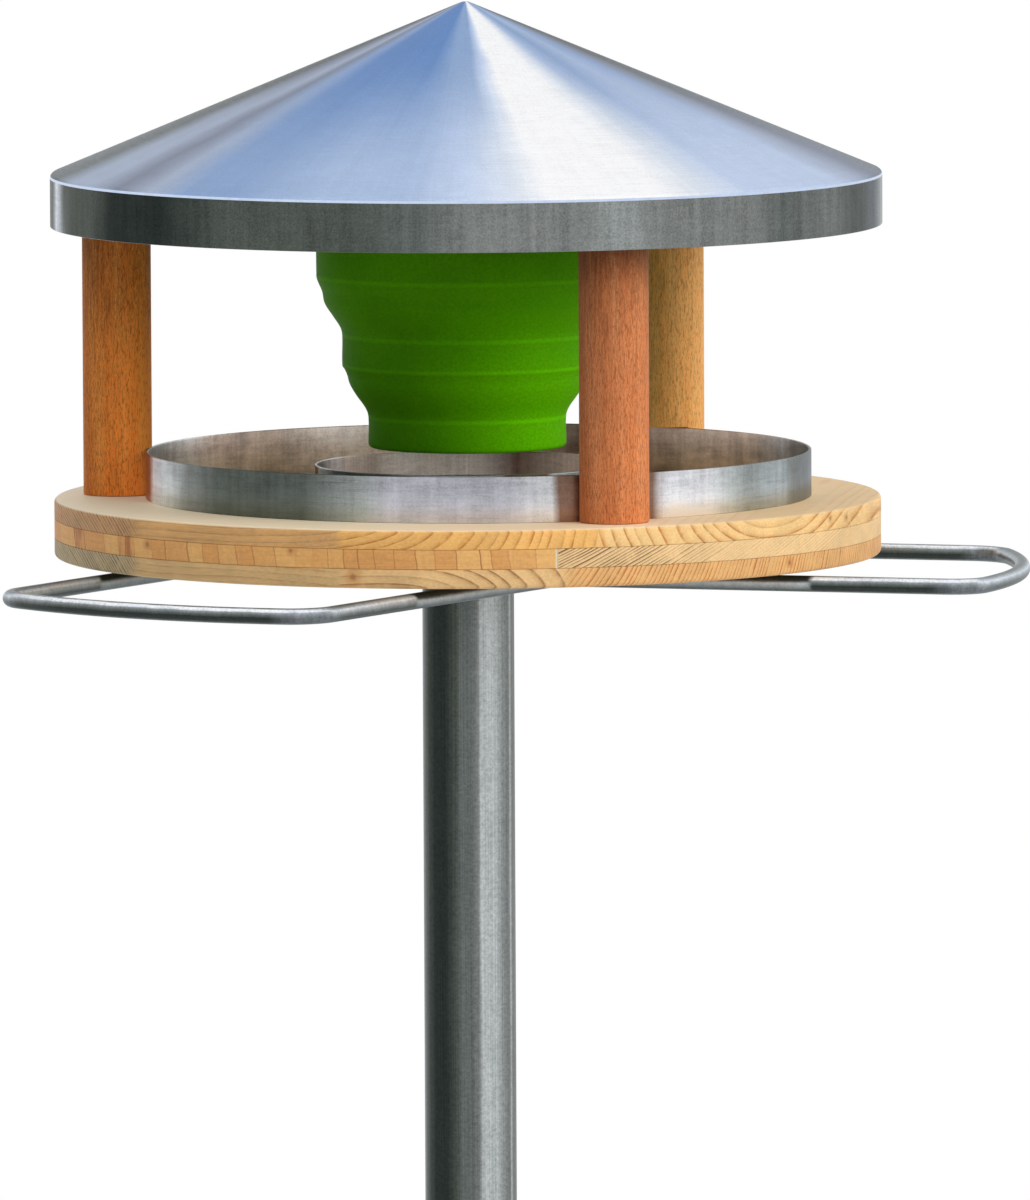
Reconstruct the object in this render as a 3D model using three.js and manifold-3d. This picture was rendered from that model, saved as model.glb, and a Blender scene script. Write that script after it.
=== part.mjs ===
// A bird table. A round three-ply board stands on a steel post with a foot plate. Three wooden columns
// on the board carry a conical steel roof, and a silicone silo hangs from a steel carrier under it.
// Below the silo a seed dish stands in a steel tray ring, and three perch loops reach out under the board.
// Millimetres, +Z up. The origin is the centre of the foot plate's underside. Angles go round from -Y to +X.
import * as THREE from "three";
import { mergeVertices } from "three/addons/utils/BufferGeometryUtils.js";
import Module from "manifold-3d";

// Clearances
const seatGap = 0.1; // between faces that rest on each other
const fitGap = 0.3; // round a piece that passes through another
const overrun = 5; // how far a cutter runs past the face that it opens

// Foot and post
const footPlateRadius = 190;
const footPlateThickness = 8;
const footPlateChamfer = 1.5;
const postRadius = 20;
const postWall = 2;
const postSectionLength = 500;
const plugWall = 4; // of the inner tubes that locate the post sections
const plugLength = 60;
const joinerLength = 120;
const postScrewInset = 25; // from the end of a post section
const postScrewAngle = 180;
const postScrew = {
  radius: 2.5,
  length: 8,
  headRadius: 4.75,
  headHeight: 2.75,
  socketRadius: 1.6,
  socketDepth: 1.8,
};

// Mounting plate and perches
const mountingPlateThickness = 3;
const plateScrewCount = 6;
const plateScrewCircle = 70;
const plateScrew = {
  radius: 2,
  length: 18,
  headRadius: 4,
  headHeight: 2.2,
  socketRadius: 1.4,
  socketDepth: 1.4,
};
const perchAngles = [90, 210, 330]; // each midway between two columns
const perchRodRadius = 3.5;
const perchHalfWidth = 83; // from a loop's middle line to the middle of its leg
const perchReach = 61.5; // of the outer bar past the board's edge
const perchBendRadius = 18;
const perchDroop = 1; // degrees that a loop slopes down from the plate outwards

// Board
const boardRadius = 180;
const plyThickness = 8.3;
const plyNames = ["board_bottom_ply", "board_core_ply", "board_top_ply"];
const boardEdgeRound = 1.5;
const coreJointAngle = 18;
const coreJointWidth = 1.2;
const coreJointDepth = 4;

// Columns
const columnAngles = [30, 150, 270];
const columnNames = ["column_front", "column_back", "column_left"];
const columnRadius = 15;
const columnHeight = 142;
const columnInset = 26.6; // of a column's axis from the board's edge
const footScrew = {
  radius: 2.5,
  length: 60,
  headRadius: 5,
  headHeight: 2.8,
  socketRadius: 1.7,
  socketDepth: 1.8,
};
const footScrewSink = 0.4;
const topScrew = {
  radius: 2.2,
  length: 40,
  headRadius: 4.2,
  headHeight: 2.4,
  socketRadius: 1.5,
  socketDepth: 1.5,
};

// Tray ring and seed dish
const ringInset = 35; // of the ring's outside from the board's edge
const ringHeight = 20;
const ringWall = 1.2;
const ringShift = 4.8; // the ring lies this far off the axis, towards +X
const dishRadius = 66.5;
const dishHeight = 14;
const dishWall = 1;
const dishCornerRadius = 4;

// Carrier and silo
const carrierThickness = 3;
const carrierRingWidth = 13.5;
const carrierArmWidth = 24;
const siloTopRadius = 65.4;
const siloMiddleRadius = 54.3;
const siloNeckRadius = 43.1;
const siloWall = 2.5;
const siloRimRound = 2;
const siloLipWidth = 8.6;
const siloLipThickness = 3;
const siloFit = 1.1; // between the silo and the carrier's bore
const seedGap = 7.4; // between the dish's rim and the silo's lower end
const upperShoulderHeight = 25.7;
const middleBandHeight = 13.4;
const lowerShoulderHeight = 22.3;
const neckHeight = 13.4;
// Each pair is a share of a shoulder's height, from below, and a share of the way out to the wider band.
const upperShoulderShares = [
  [0, 0],
  [0.13, 0.08],
  [0.33, 0.38],
  [0.54, 0.685],
  [0.74, 0.78],
  [0.9, 0.94],
  [1, 1],
];
const lowerShoulderShares = [
  [0, 0],
  [0.17, 0.14],
  [0.43, 0.49],
  [0.65, 0.77],
  [0.825, 0.8],
  [0.93, 0.9],
  [1, 1],
];

// Roof
const roofOverhang = 1; // of the roof's radius past the board's
const roofRise = 74.7; // from the band's upper edge to the cone's sharp tip
const roofBandHeight = 22.7;
const roofSheet = 1;
const roofFoldRadius = 2.5;
const roofTipRadius = 6;

// Fineness of the round shapes
const wideSides = 60;
const siloSides = 36;
const slimSides = 24;
const rodSides = 8;
const screwSides = 10;
const arcSteps = 3;
const perchArcSteps = 6;

// Heights above the floor, each from the piece below
const plugFloorZ = footPlateThickness + seatGap;
const postJointZ = plugFloorZ + postSectionLength + seatGap;
const postTopZ = postJointZ + postSectionLength;
const boardZ = postTopZ + seatGap + mountingPlateThickness + seatGap;

// Heights above the board's underside
const plyPitch = plyThickness + seatGap;
const boardTop = plyNames.length * plyPitch - seatGap;
const trayFloor = boardTop + seatGap;
const columnTop = trayFloor + columnHeight;
const carrierFloor = columnTop + seatGap;
const carrierTop = carrierFloor + carrierThickness;
const siloLipFloor = carrierTop + seatGap;
const siloFloor = trayFloor + dishHeight + seedGap;

// Places that follow from the sizes
const columnCircle = boardRadius - columnInset;
const columnReach = columnCircle + columnRadius;
const ringRadius = boardRadius - ringInset;
const roofRadius = boardRadius + roofOverhang;
const roofSlope = Math.atan2(roofRise, roofRadius);
const roofInnerDrop = roofSheet / Math.cos(roofSlope);
const roofCornerZ = carrierTop + seatGap + roofInnerDrop - (roofRadius - columnReach) * Math.tan(roofSlope);
const plugRadius = postRadius - postWall - fitGap;
const perchSpread = Math.PI / perchAngles.length;
const perchLegCrossing = perchHalfWidth / Math.tan(perchSpread); // where the next loop's leg would cross
const perchLegEnd = perchLegCrossing + 2 * perchRodRadius;
const mountingPlateRadius = Math.hypot(perchHalfWidth, perchLegEnd);

const steel = { color: 0xa3a7aa, roughness: 0.32, metalness: 1 };
const darkSteel = { color: 0x7d868c, roughness: 0.4, metalness: 1 };
const spruce = { color: 0xe3c290, roughness: 0.7, metalness: 0 };
const beech = { color: 0xb56d43, roughness: 0.65, metalness: 0 };
const silicone = { color: 0x3f8a06, roughness: 0.6, metalness: 0 };
const zinc = { color: 0xb9bcc0, roughness: 0.35, metalness: 1 };

const wasm = await Module();
wasm.setup();

const radians = THREE.MathUtils.degToRad;

// The point at this distance from the axis, at this angle from -Y towards +X.
function around(distance, degrees, z = 0) {
  const angle = radians(degrees);
  return new THREE.Vector3(distance * Math.sin(angle), -distance * Math.cos(angle), z);
}

// The points of an arc in a profile, both ends included.
// Angles are in radians from the profile's outward axis.
function arc(centreX, centreY, radius, from, to, steps = arcSteps) {
  return Array.from({ length: steps + 1 }, (_, i) => {
    const angle = from + ((to - from) * i) / steps;
    return [centreX + radius * Math.cos(angle), centreY + radius * Math.sin(angle)];
  });
}

// A profile of [distance from the axis, height] turned round the Z axis.
function turned(profile, sides) {
  const points = profile.map(([x, y]) => new THREE.Vector2(x, y));
  return new THREE.LatheGeometry(points, sides).rotateX(Math.PI / 2);
}

function tube(outer, inner, height, sides) {
  return turned([[inner, 0], [outer, 0], [outer, height], [inner, height], [inner, 0]], sides);
}

// A solid cylinder that stands on z = 0.
function rod(radius, height, sides) {
  const cylinder = new THREE.CylinderGeometry(radius, radius, height, sides);
  return cylinder.rotateX(Math.PI / 2).translate(0, 0, height / 2);
}

function toSolid(geometry) {
  const bare = geometry.clone();
  bare.deleteAttribute("normal");
  bare.deleteAttribute("uv");
  const merged = mergeVertices(bare);
  return new wasm.Manifold(
    new wasm.Mesh({
      numProp: 3,
      vertProperties: merged.attributes.position.array,
      triVerts: new Uint32Array(merged.index.array),
    }),
  );
}

function toGeometry(solid) {
  const { vertProperties, triVerts } = solid.getMesh();
  const shared = new THREE.BufferGeometry();
  shared.setAttribute("position", new THREE.BufferAttribute(vertProperties, 3));
  shared.setIndex(new THREE.BufferAttribute(triVerts, 1));
  const geometry = shared.toNonIndexed();
  geometry.computeVertexNormals();
  return geometry;
}

function cut(geometry, cutters) {
  return toGeometry(cutters.reduce((solid, cutter) => solid.subtract(toSolid(cutter)), toSolid(geometry)));
}

function joined(geometries) {
  return toGeometry(geometries.map(toSolid).reduce((whole, solid) => whole.add(solid)));
}

// Adds a named mesh with a material of its own to a group.
function place(group, name, geometry, finish, position = new THREE.Vector3(), rotation = new THREE.Euler()) {
  const mesh = new THREE.Mesh(geometry, new THREE.MeshStandardMaterial(finish));
  mesh.name = name;
  mesh.position.copy(position);
  mesh.rotation.copy(rotation);
  group.add(mesh);
}

// A countersunk wood screw. Its head's flat top is at z = 0 and its tip points down.
function woodScrew({ radius, length, headRadius, headHeight, socketRadius, socketDepth }) {
  const shank = [[0, -length], [radius, radius * 2 - length], [radius, -headHeight]];
  const head = [[headRadius, 0], [socketRadius, 0], [socketRadius, -socketDepth], [0, -socketDepth]];
  return turned([...shank, ...head], screwSides);
}

// The hole that a wood screw needs, open past its head.
function woodScrewHole({ radius, length, headRadius, headHeight }) {
  const bottom = -length - fitGap;
  const shank = [[0, bottom], [radius + fitGap, bottom], [radius + fitGap, -headHeight]];
  const head = [[headRadius + fitGap, 0], [headRadius + fitGap, overrun], [0, overrun]];
  return turned([...shank, ...head], screwSides);
}

// A button-head machine screw. Its head stands on z = 0 and its shank points down.
function buttonScrew({ radius, length, headRadius, headHeight, socketRadius, socketDepth }) {
  const shank = [[0, -length], [radius, -length], [radius, 0]];
  const crownRadius = (headRadius + socketRadius) / 2;
  const crown = [[headRadius, 0], [headRadius, headHeight / 3], [crownRadius, headHeight]];
  const socketFloor = headHeight - socketDepth;
  const socket = [[socketRadius, headHeight], [socketRadius, socketFloor], [0, socketFloor]];
  return turned([...shank, ...crown, ...socket], screwSides);
}

const birdTable = new THREE.Group();

// Foot and post
const foot = new THREE.Group();
birdTable.add(foot);

const footPlateProfile = [
  [0, 0],
  [footPlateRadius, 0],
  [footPlateRadius, footPlateThickness - footPlateChamfer],
  [footPlateRadius - footPlateChamfer, footPlateThickness],
  [0, footPlateThickness],
];
place(foot, "foot_plate", turned(footPlateProfile, wideSides), steel);

// A tube with a hole for a post screw at each of the heights given.
function screwedTube(outer, inner, length, screwHeights) {
  const turn = new THREE.Matrix4().makeRotationZ(radians(postScrewAngle));
  const holes = screwHeights.map((height) =>
    rod(postScrew.radius + fitGap, outer + overrun, screwSides)
      .rotateX(Math.PI / 2)
      .applyMatrix4(turn)
      .translate(0, 0, height),
  );
  return cut(tube(outer, inner, length, slimSides), holes);
}

const postInner = postRadius - postWall;
const plugInner = plugRadius - plugWall;
const joinerFloorZ = postJointZ - (joinerLength + seatGap) / 2;
const lowerScrewZ = plugFloorZ + postScrewInset;
const joinerLowerScrewZ = postJointZ - seatGap - postScrewInset;
const joinerUpperScrewZ = postJointZ + postScrewInset;
const upperScrewZ = postTopZ - postScrewInset;

const postSections = [
  ["post_lower", plugFloorZ, [lowerScrewZ, joinerLowerScrewZ]],
  ["post_upper", postJointZ, [joinerUpperScrewZ, upperScrewZ]],
];
for (const [name, floorZ, screwHeights] of postSections) {
  const holes = screwHeights.map((height) => height - floorZ);
  const section = screwedTube(postRadius, postInner, postSectionLength, holes);
  place(foot, name, section, steel, new THREE.Vector3(0, 0, floorZ));
}

const plugs = [
  ["foot_plug", plugFloorZ, plugLength, [lowerScrewZ]],
  ["post_joiner", joinerFloorZ, joinerLength, [joinerLowerScrewZ, joinerUpperScrewZ]],
  ["head_plug", postTopZ - plugLength, plugLength, [upperScrewZ]],
];
for (const [name, floorZ, length, screwHeights] of plugs) {
  const holes = screwHeights.map((height) => height - floorZ);
  const plug = screwedTube(plugRadius, plugInner, length, holes);
  place(foot, name, plug, darkSteel, new THREE.Vector3(0, 0, floorZ));
}

const postScrews = {
  post_screw_foot: lowerScrewZ,
  post_screw_joint_lower: joinerLowerScrewZ,
  post_screw_joint_upper: joinerUpperScrewZ,
  post_screw_head: upperScrewZ,
};
const outward = new THREE.Euler(Math.PI / 2, 0, radians(postScrewAngle), "ZYX");
for (const [name, height] of Object.entries(postScrews)) {
  const seat = around(postRadius + seatGap, postScrewAngle, height);
  place(foot, name, buttonScrew(postScrew), zinc, seat, outward);
}

// Everything from here on is placed from the board's underside.
const house = new THREE.Group();
house.position.z = boardZ;
birdTable.add(house);

const upsideDown = new THREE.Euler(Math.PI, 0, 0);
const plateFloor = -seatGap - mountingPlateThickness;
const plateScrewSeats = Array.from({ length: plateScrewCount }, (_, i) =>
  around(plateScrewCircle, (i * 360) / plateScrewCount, plateFloor),
);
const footScrewSeats = columnAngles.map((angle) => around(columnCircle, angle, footScrewSink));

// A hole for a wood screw that is driven upwards from the seat given.
function holeFromBelow(screw, seat) {
  return woodScrewHole(screw).rotateX(Math.PI).translate(seat.x, seat.y, seat.z);
}

const boardHoles = [
  ...plateScrewSeats.map((seat) => holeFromBelow(plateScrew, seat)),
  ...footScrewSeats.map((seat) => holeFromBelow(footScrew, seat)),
];

// Mounting plate
const plateBlank = rod(mountingPlateRadius, mountingPlateThickness, wideSides).translate(0, 0, plateFloor);
const plateHoles = plateScrewSeats.map((seat) => holeFromBelow(plateScrew, seat));
place(house, "mounting_plate", cut(plateBlank, plateHoles), steel);
plateScrewSeats.forEach((seat, i) => {
  place(house, `plate_screw_${i + 1}`, woodScrew(plateScrew), zinc, seat, upsideDown);
});

// Board: the outer plies have a rounded edge, and the core ply is butted from two lengths of wood.
function plyProfile(roundBelow, roundAbove) {
  const inset = boardRadius - boardEdgeRound;
  const below = roundBelow
    ? arc(inset, boardEdgeRound, boardEdgeRound, -Math.PI / 2, 0)
    : [[boardRadius, 0]];
  const above = roundAbove
    ? arc(inset, plyThickness - boardEdgeRound, boardEdgeRound, 0, Math.PI / 2)
    : [[boardRadius, plyThickness]];
  return [[0, 0], ...below, ...above, [0, plyThickness]];
}

const coreJointPlace = around(boardRadius, coreJointAngle);
const coreJoint = new THREE.BoxGeometry(coreJointWidth, coreJointDepth * 2, boardTop)
  .rotateZ(radians(coreJointAngle))
  .translate(coreJointPlace.x, coreJointPlace.y, boardTop / 2);
plyNames.forEach((name, i) => {
  const isBottom = i === 0;
  const isTop = i === plyNames.length - 1;
  const blank = turned(plyProfile(isBottom, isTop), wideSides).translate(0, 0, i * plyPitch);
  const butt = isBottom || isTop ? [] : [coreJoint];
  place(house, name, cut(blank, [...boardHoles, ...butt]), spruce);
});

// Columns: each foot is rebated for the tray ring, which passes under the column's inner side.
function columnGeometry(centre) {
  const rebateTop = ringHeight + fitGap;
  const rebate = rod(ringRadius + fitGap, rebateTop + overrun, wideSides).translate(
    ringShift - centre.x,
    -centre.y,
    -overrun,
  );
  const footHole = holeFromBelow(footScrew, new THREE.Vector3(0, 0, footScrewSink - trayFloor));
  const topHole = woodScrewHole(topScrew).translate(0, 0, carrierTop - trayFloor);
  return cut(rod(columnRadius, columnHeight, slimSides), [rebate, footHole, topHole]);
}

columnAngles.forEach((angle, i) => {
  const centre = around(columnCircle, angle);
  place(house, columnNames[i], columnGeometry(centre), beech, centre.clone().setZ(trayFloor));
  place(house, `${columnNames[i]}_foot_screw`, woodScrew(footScrew), zinc, footScrewSeats[i], upsideDown);
  place(house, `${columnNames[i]}_top_screw`, woodScrew(topScrew), zinc, centre.clone().setZ(carrierTop));
});

// Tray ring and seed dish
const ringPlace = new THREE.Vector3(ringShift, 0, trayFloor);
place(house, "tray_ring", tube(ringRadius, ringRadius - ringWall, ringHeight, wideSides), steel, ringPlace);

const dishInner = dishRadius - dishWall;
const dishCorner = dishRadius - dishCornerRadius;
const dishProfile = [
  [0, 0],
  ...arc(dishCorner, dishCornerRadius, dishCornerRadius, -Math.PI / 2, 0),
  [dishRadius, dishHeight],
  [dishInner, dishHeight],
  ...arc(dishCorner, dishCornerRadius, dishCornerRadius - dishWall, 0, -Math.PI / 2),
  [0, dishWall],
];
place(house, "seed_dish", turned(dishProfile, wideSides), steel, new THREE.Vector3(0, 0, trayFloor));

// Silo carrier: a ring with an arm to each column.
const carrierBore = siloTopRadius + siloFit;
const carrierParts = [rod(carrierBore + carrierRingWidth, carrierThickness, siloSides)];
for (const angle of columnAngles) {
  const end = around(columnCircle, angle);
  const arm = new THREE.BoxGeometry(carrierArmWidth, columnCircle, carrierThickness)
    .rotateZ(radians(angle))
    .translate(end.x / 2, end.y / 2, carrierThickness / 2);
  const pad = rod(columnRadius, carrierThickness, slimSides).translate(end.x, end.y, 0);
  carrierParts.push(arm, pad);
}
const carrierHoles = [
  rod(carrierBore, carrierThickness + 2 * overrun, siloSides).translate(0, 0, -overrun),
  ...columnAngles.map((angle) => {
    const end = around(columnCircle, angle);
    return woodScrewHole(topScrew).translate(end.x, end.y, carrierThickness);
  }),
];
const carrierPlace = new THREE.Vector3(0, 0, carrierFloor);
place(house, "silo_carrier", cut(joined(carrierParts), carrierHoles), steel, carrierPlace);

// Silo: three bands that narrow downwards, joined by soft shoulders, with a lip on the carrier.
function shoulder(floor, height, innerRadius, outerRadius, shares) {
  return shares.map(([up, out]) => [innerRadius + (outerRadius - innerRadius) * out, floor + height * up]);
}

const upperShoulderFloor = neckHeight + lowerShoulderHeight + middleBandHeight;
const lipFloor = siloLipFloor - siloFloor;
const lipTop = lipFloor + siloLipThickness;
const siloSide = [
  ...shoulder(neckHeight, lowerShoulderHeight, siloNeckRadius, siloMiddleRadius, lowerShoulderShares),
  ...shoulder(upperShoulderFloor, upperShoulderHeight, siloMiddleRadius, siloTopRadius, upperShoulderShares),
];
const siloInside = [...siloSide, [siloTopRadius, lipTop]].map(([x, y]) => [x - siloWall, y]).reverse();
const siloProfile = [
  [siloNeckRadius - siloWall, 0],
  ...arc(siloNeckRadius - siloRimRound, siloRimRound, siloRimRound, -Math.PI / 2, 0),
  ...siloSide,
  [siloTopRadius, lipFloor],
  [siloTopRadius + siloLipWidth, lipFloor],
  [siloTopRadius + siloLipWidth, lipTop],
  ...siloInside,
  [siloNeckRadius - siloWall, 0],
];
place(house, "silo", turned(siloProfile, siloSides), silicone, new THREE.Vector3(0, 0, siloFloor));

// Roof: one spun sheet, a cone with a straight band below its fold.
const foldTurn = Math.PI / 2 - roofSlope;
const foldCentreX = roofRadius - roofFoldRadius;
const foldCentreY = -roofFoldRadius * Math.tan(foldTurn / 2);
const tipCentreY = roofRise - roofTipRadius / Math.cos(roofSlope);
const roofProfile = [
  ...arc(0, tipCentreY, roofTipRadius - roofSheet, Math.PI / 2, foldTurn),
  ...arc(foldCentreX, foldCentreY, roofFoldRadius - roofSheet, foldTurn, 0),
  [roofRadius - roofSheet, -roofBandHeight],
  [roofRadius, -roofBandHeight],
  ...arc(foldCentreX, foldCentreY, roofFoldRadius, 0, foldTurn),
  ...arc(0, tipCentreY, roofTipRadius, foldTurn, Math.PI / 2),
];
place(house, "roof", turned(roofProfile, wideSides), steel, new THREE.Vector3(0, 0, roofCornerZ));

// A path of straight steps through the points given, for an extrusion to follow.
class StraightSteps extends THREE.Curve {
  constructor(points) {
    super();
    this.points = points;
  }

  indexAt(t) {
    return Math.round(t * (this.points.length - 1));
  }

  getPointAt(t, target = new THREE.Vector3()) {
    return target.copy(this.points[this.indexAt(t)]);
  }

  getTangentAt(t, target = new THREE.Vector3()) {
    const i = this.indexAt(t);
    const before = this.points[Math.max(i - 1, 0)];
    const after = this.points[Math.min(i + 1, this.points.length - 1)];
    return target.subVectors(after, before).normalize();
  }
}

// Perch loops: two straight legs that end at the mounting plate's edge, two bends,
// and an outer bar that follows the board's curve. Each loop lies in a plane that slopes down outwards.
const barRadius = boardRadius + perchReach;
const bendCentreX = perchHalfWidth - perchBendRadius;
const bendCentreY = Math.sqrt((barRadius - perchBendRadius) ** 2 - bendCentreX ** 2);
const barHalfAngle = Math.atan2(bendCentreX, bendCentreY);
const perchHalf = [
  [perchHalfWidth, perchLegCrossing],
  ...arc(bendCentreX, bendCentreY, perchBendRadius, 0, Math.PI / 2 - barHalfAngle, perchArcSteps),
  ...arc(0, 0, barRadius, Math.PI / 2 - barHalfAngle, Math.PI / 2, perchArcSteps / 2).slice(1),
];
const perchPoints = [...perchHalf, ...perchHalf.slice(0, -1).reverse().map(([x, y]) => [-x, y])];
const perchSlope = Math.tan(radians(perchDroop));
const perchPath = new StraightSteps(
  perchPoints.map(([x, y]) => new THREE.Vector3(x, -y, (perchLegEnd - y) * perchSlope)),
);
const perchZ = -fitGap - perchRodRadius;
const perchTrimHeight = 2 * (perchRodRadius + overrun);
const perchTrim = rod(mountingPlateRadius + fitGap, perchTrimHeight, wideSides)
  .translate(0, 0, -perchTrimHeight / 2);
perchAngles.forEach((angle, i) => {
  const section = new THREE.Shape().absarc(0, 0, perchRodRadius, 0, Math.PI * 2);
  const geometry = new THREE.ExtrudeGeometry(section, {
    extrudePath: perchPath,
    steps: perchPoints.length - 1,
    curveSegments: rodSides / 2,
  });
  const turn = new THREE.Euler(0, 0, radians(angle));
  const loop = cut(geometry, [perchTrim]);
  place(house, `perch_${i + 1}`, loop, darkSteel, new THREE.Vector3(0, 0, perchZ), turn);
});

export default birdTable;
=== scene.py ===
"""The looks of a bird table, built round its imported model.

A round three-ply board stands on a steel post with a foot plate. Three beech columns on the board carry a
spun steel roof and a steel carrier, and a silicone silo hangs in the carrier above a seed dish.
Each sub-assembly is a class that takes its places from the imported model, builds its meshes and dresses them.
Metres, +Z up. Angles go round from -Y to +X, as seen from above, and are in degrees.
"""

import logging
import math
from collections.abc import Callable, Iterable, Sequence
from dataclasses import dataclass, field
from enum import Enum
from functools import cached_property

import bmesh
import bpy
from mathutils import Euler, Matrix, Quaternion, Vector


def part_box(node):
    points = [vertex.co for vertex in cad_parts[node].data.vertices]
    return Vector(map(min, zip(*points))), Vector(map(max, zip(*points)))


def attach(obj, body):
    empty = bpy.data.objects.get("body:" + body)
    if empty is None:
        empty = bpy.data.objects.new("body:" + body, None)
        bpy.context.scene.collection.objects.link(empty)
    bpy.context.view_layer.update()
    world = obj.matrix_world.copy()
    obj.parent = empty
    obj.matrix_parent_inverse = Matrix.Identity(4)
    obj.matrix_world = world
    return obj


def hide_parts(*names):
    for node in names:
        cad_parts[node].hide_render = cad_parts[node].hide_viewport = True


LOG = logging.getLogger("bird_table")
MM = 0.001
SHARP_ANGLE = math.radians(32)
PHOTO_AZIMUTH = 5.7

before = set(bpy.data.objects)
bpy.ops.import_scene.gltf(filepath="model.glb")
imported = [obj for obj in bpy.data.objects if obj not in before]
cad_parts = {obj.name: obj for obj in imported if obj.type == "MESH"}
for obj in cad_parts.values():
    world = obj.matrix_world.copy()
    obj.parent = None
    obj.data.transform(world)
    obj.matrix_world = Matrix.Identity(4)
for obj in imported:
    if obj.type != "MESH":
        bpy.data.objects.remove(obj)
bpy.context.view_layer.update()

Object = bpy.types.Object
Material = bpy.types.Material
Socket = bpy.types.NodeSocket
Value = bpy.types.NodeSocket | float | tuple[float, ...]
Colour = tuple[float, float, float, float]
Outline = list[tuple[float, float]]


class Body(Enum):
    """The bodies of the model that pieces move with."""

    STAND = "stand"
    SILO = "silo"
    ROOF = "roof"
    DISH = "dish"


class Slot(Enum):
    """The names of the material slots."""

    ROOF_STEEL = "roof_steel"
    TRAY_STEEL = "tray_steel"
    POST_STEEL = "post_steel"
    PERCH_STEEL = "perch_steel"
    FOOT_STEEL = "foot_steel"
    FASTENERS = "fasteners"
    BOARD_WOOD = "board_wood"
    COLUMN_WOOD = "column_wood"
    SILO_SILICONE = "silo_silicone"


def linear(red: int, green: int, blue: int) -> Colour:
    """Turns a screen colour into the linear colour that a shader takes.

    Args:
        red: Screen red, 0 to 255.
        green: Screen green, 0 to 255.
        blue: Screen blue, 0 to 255.

    Returns:
        The linear colour with full alpha.
    """

    def channel(value: int) -> float:
        """One channel, from screen to linear."""
        share = value / 255
        return share / 12.92 if share <= 0.04045 else ((share + 0.055) / 1.055) ** 2.4

    return channel(red), channel(green), channel(blue), 1.0


def grey(level: float) -> Colour:
    """A linear grey of a level."""
    return level, level, level, 1.0


def around(distance: float, degrees: float, height: float = 0.0) -> Vector:
    """The point at a distance from the Z axis.

    Args:
        distance: Distance from the axis.
        degrees: Angle from -Y towards +X.
        height: Height of the point.

    Returns:
        The point.
    """
    angle = math.radians(degrees)
    return Vector((distance * math.sin(angle), -distance * math.cos(angle), height))


def floor_of(node: str) -> float:
    """The lowest height of a node of the model."""
    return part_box(node)[0].z


def top_of(node: str) -> float:
    """The highest height of a node of the model."""
    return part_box(node)[1].z


def middle_of(node: str) -> float:
    """The height halfway up a node of the model."""
    low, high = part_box(node)
    return (low.z + high.z) / 2


def radius_of(node: str) -> float:
    """Half the width of a round node of the model."""
    low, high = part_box(node)
    return (high.x - low.x) / 2


def centre_of(node: str) -> Vector:
    """The middle of a node of the model, at the height of its underside."""
    low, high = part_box(node)
    return Vector(((low.x + high.x) / 2, (low.y + high.y) / 2, low.z))


@dataclass(frozen=True)
class Corner:
    """A corner of an outline in a plane through the axis, rounded where a radius is given."""

    out: float
    up: float
    radius: float = 0.0


def rounded(corners: Sequence[Corner], closed: bool = False, steps: int = 5) -> Outline:
    """Rounds the corners of an outline.

    Args:
        corners: The corners in order, anticlockwise with the axis on the left.
        closed: Whether the last corner joins the first.
        steps: Steps in each rounded corner.

    Returns:
        The points of the outline.
    """
    points: Outline = []
    count = len(corners)
    for i, corner in enumerate(corners):
        here = Vector((corner.out, corner.up))
        at_end = not closed and i in (0, count - 1)
        if corner.radius <= 0 or at_end:
            points.append((here.x, here.y))
            continue
        before = corners[i - 1]
        after = corners[(i + 1) % count]
        back = (Vector((before.out, before.up)) - here).normalized()
        ahead = (Vector((after.out, after.up)) - here).normalized()
        half = back.angle(ahead) / 2
        centre = here + (back + ahead).normalized() * (corner.radius / math.sin(half))
        start = here + back * (corner.radius / math.tan(half)) - centre
        end = here + ahead * (corner.radius / math.tan(half)) - centre
        turn = -start.angle_signed(end)
        for step in range(steps + 1):
            spoke = start.copy()
            spoke.rotate(Matrix.Rotation(turn * step / steps, 2))
            points.append((centre.x + spoke.x, centre.y + spoke.y))
    return points


def puck_outline(radius: float, low: float, high: float, lower_edge: float, upper_edge: float) -> Outline:
    """The outline of a round solid on the axis.

    Args:
        radius: Its radius.
        low: Height of its underside.
        high: Height of its top.
        lower_edge: Radius of its rounded lower edge.
        upper_edge: Radius of its rounded upper edge.

    Returns:
        The points of the outline.
    """
    edges = [Corner(radius, low, lower_edge), Corner(radius, high, upper_edge)]
    return rounded([Corner(0.0, low), *edges, Corner(0.0, high)])


def new_object(name: str, mesh: bpy.types.Mesh) -> Object:
    """Links a new object for a mesh.

    Args:
        name: Name of the piece.
        mesh: Its mesh.

    Returns:
        The object.
    """
    piece = bpy.data.objects.new(name, mesh)
    bpy.context.scene.collection.objects.link(piece)
    return piece


def mark_sharp(shape: bmesh.types.BMesh) -> None:
    """Marks the sharp edges of a shape, and shades its faces smooth between them."""
    for edge in shape.edges:
        edge.smooth = len(edge.link_faces) == 2 and edge.calc_face_angle() < SHARP_ANGLE
    for face in shape.faces:
        face.smooth = True


def from_bmesh(name: str, shape: bmesh.types.BMesh) -> Object:
    """Turns a bmesh into an object, with its sharp edges marked.

    Args:
        name: Name of the piece.
        shape: The shape, which is freed.

    Returns:
        The object.
    """
    mark_sharp(shape)
    mesh = bpy.data.meshes.new(name)
    shape.to_mesh(mesh)
    shape.free()
    return new_object(name, mesh)


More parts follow.
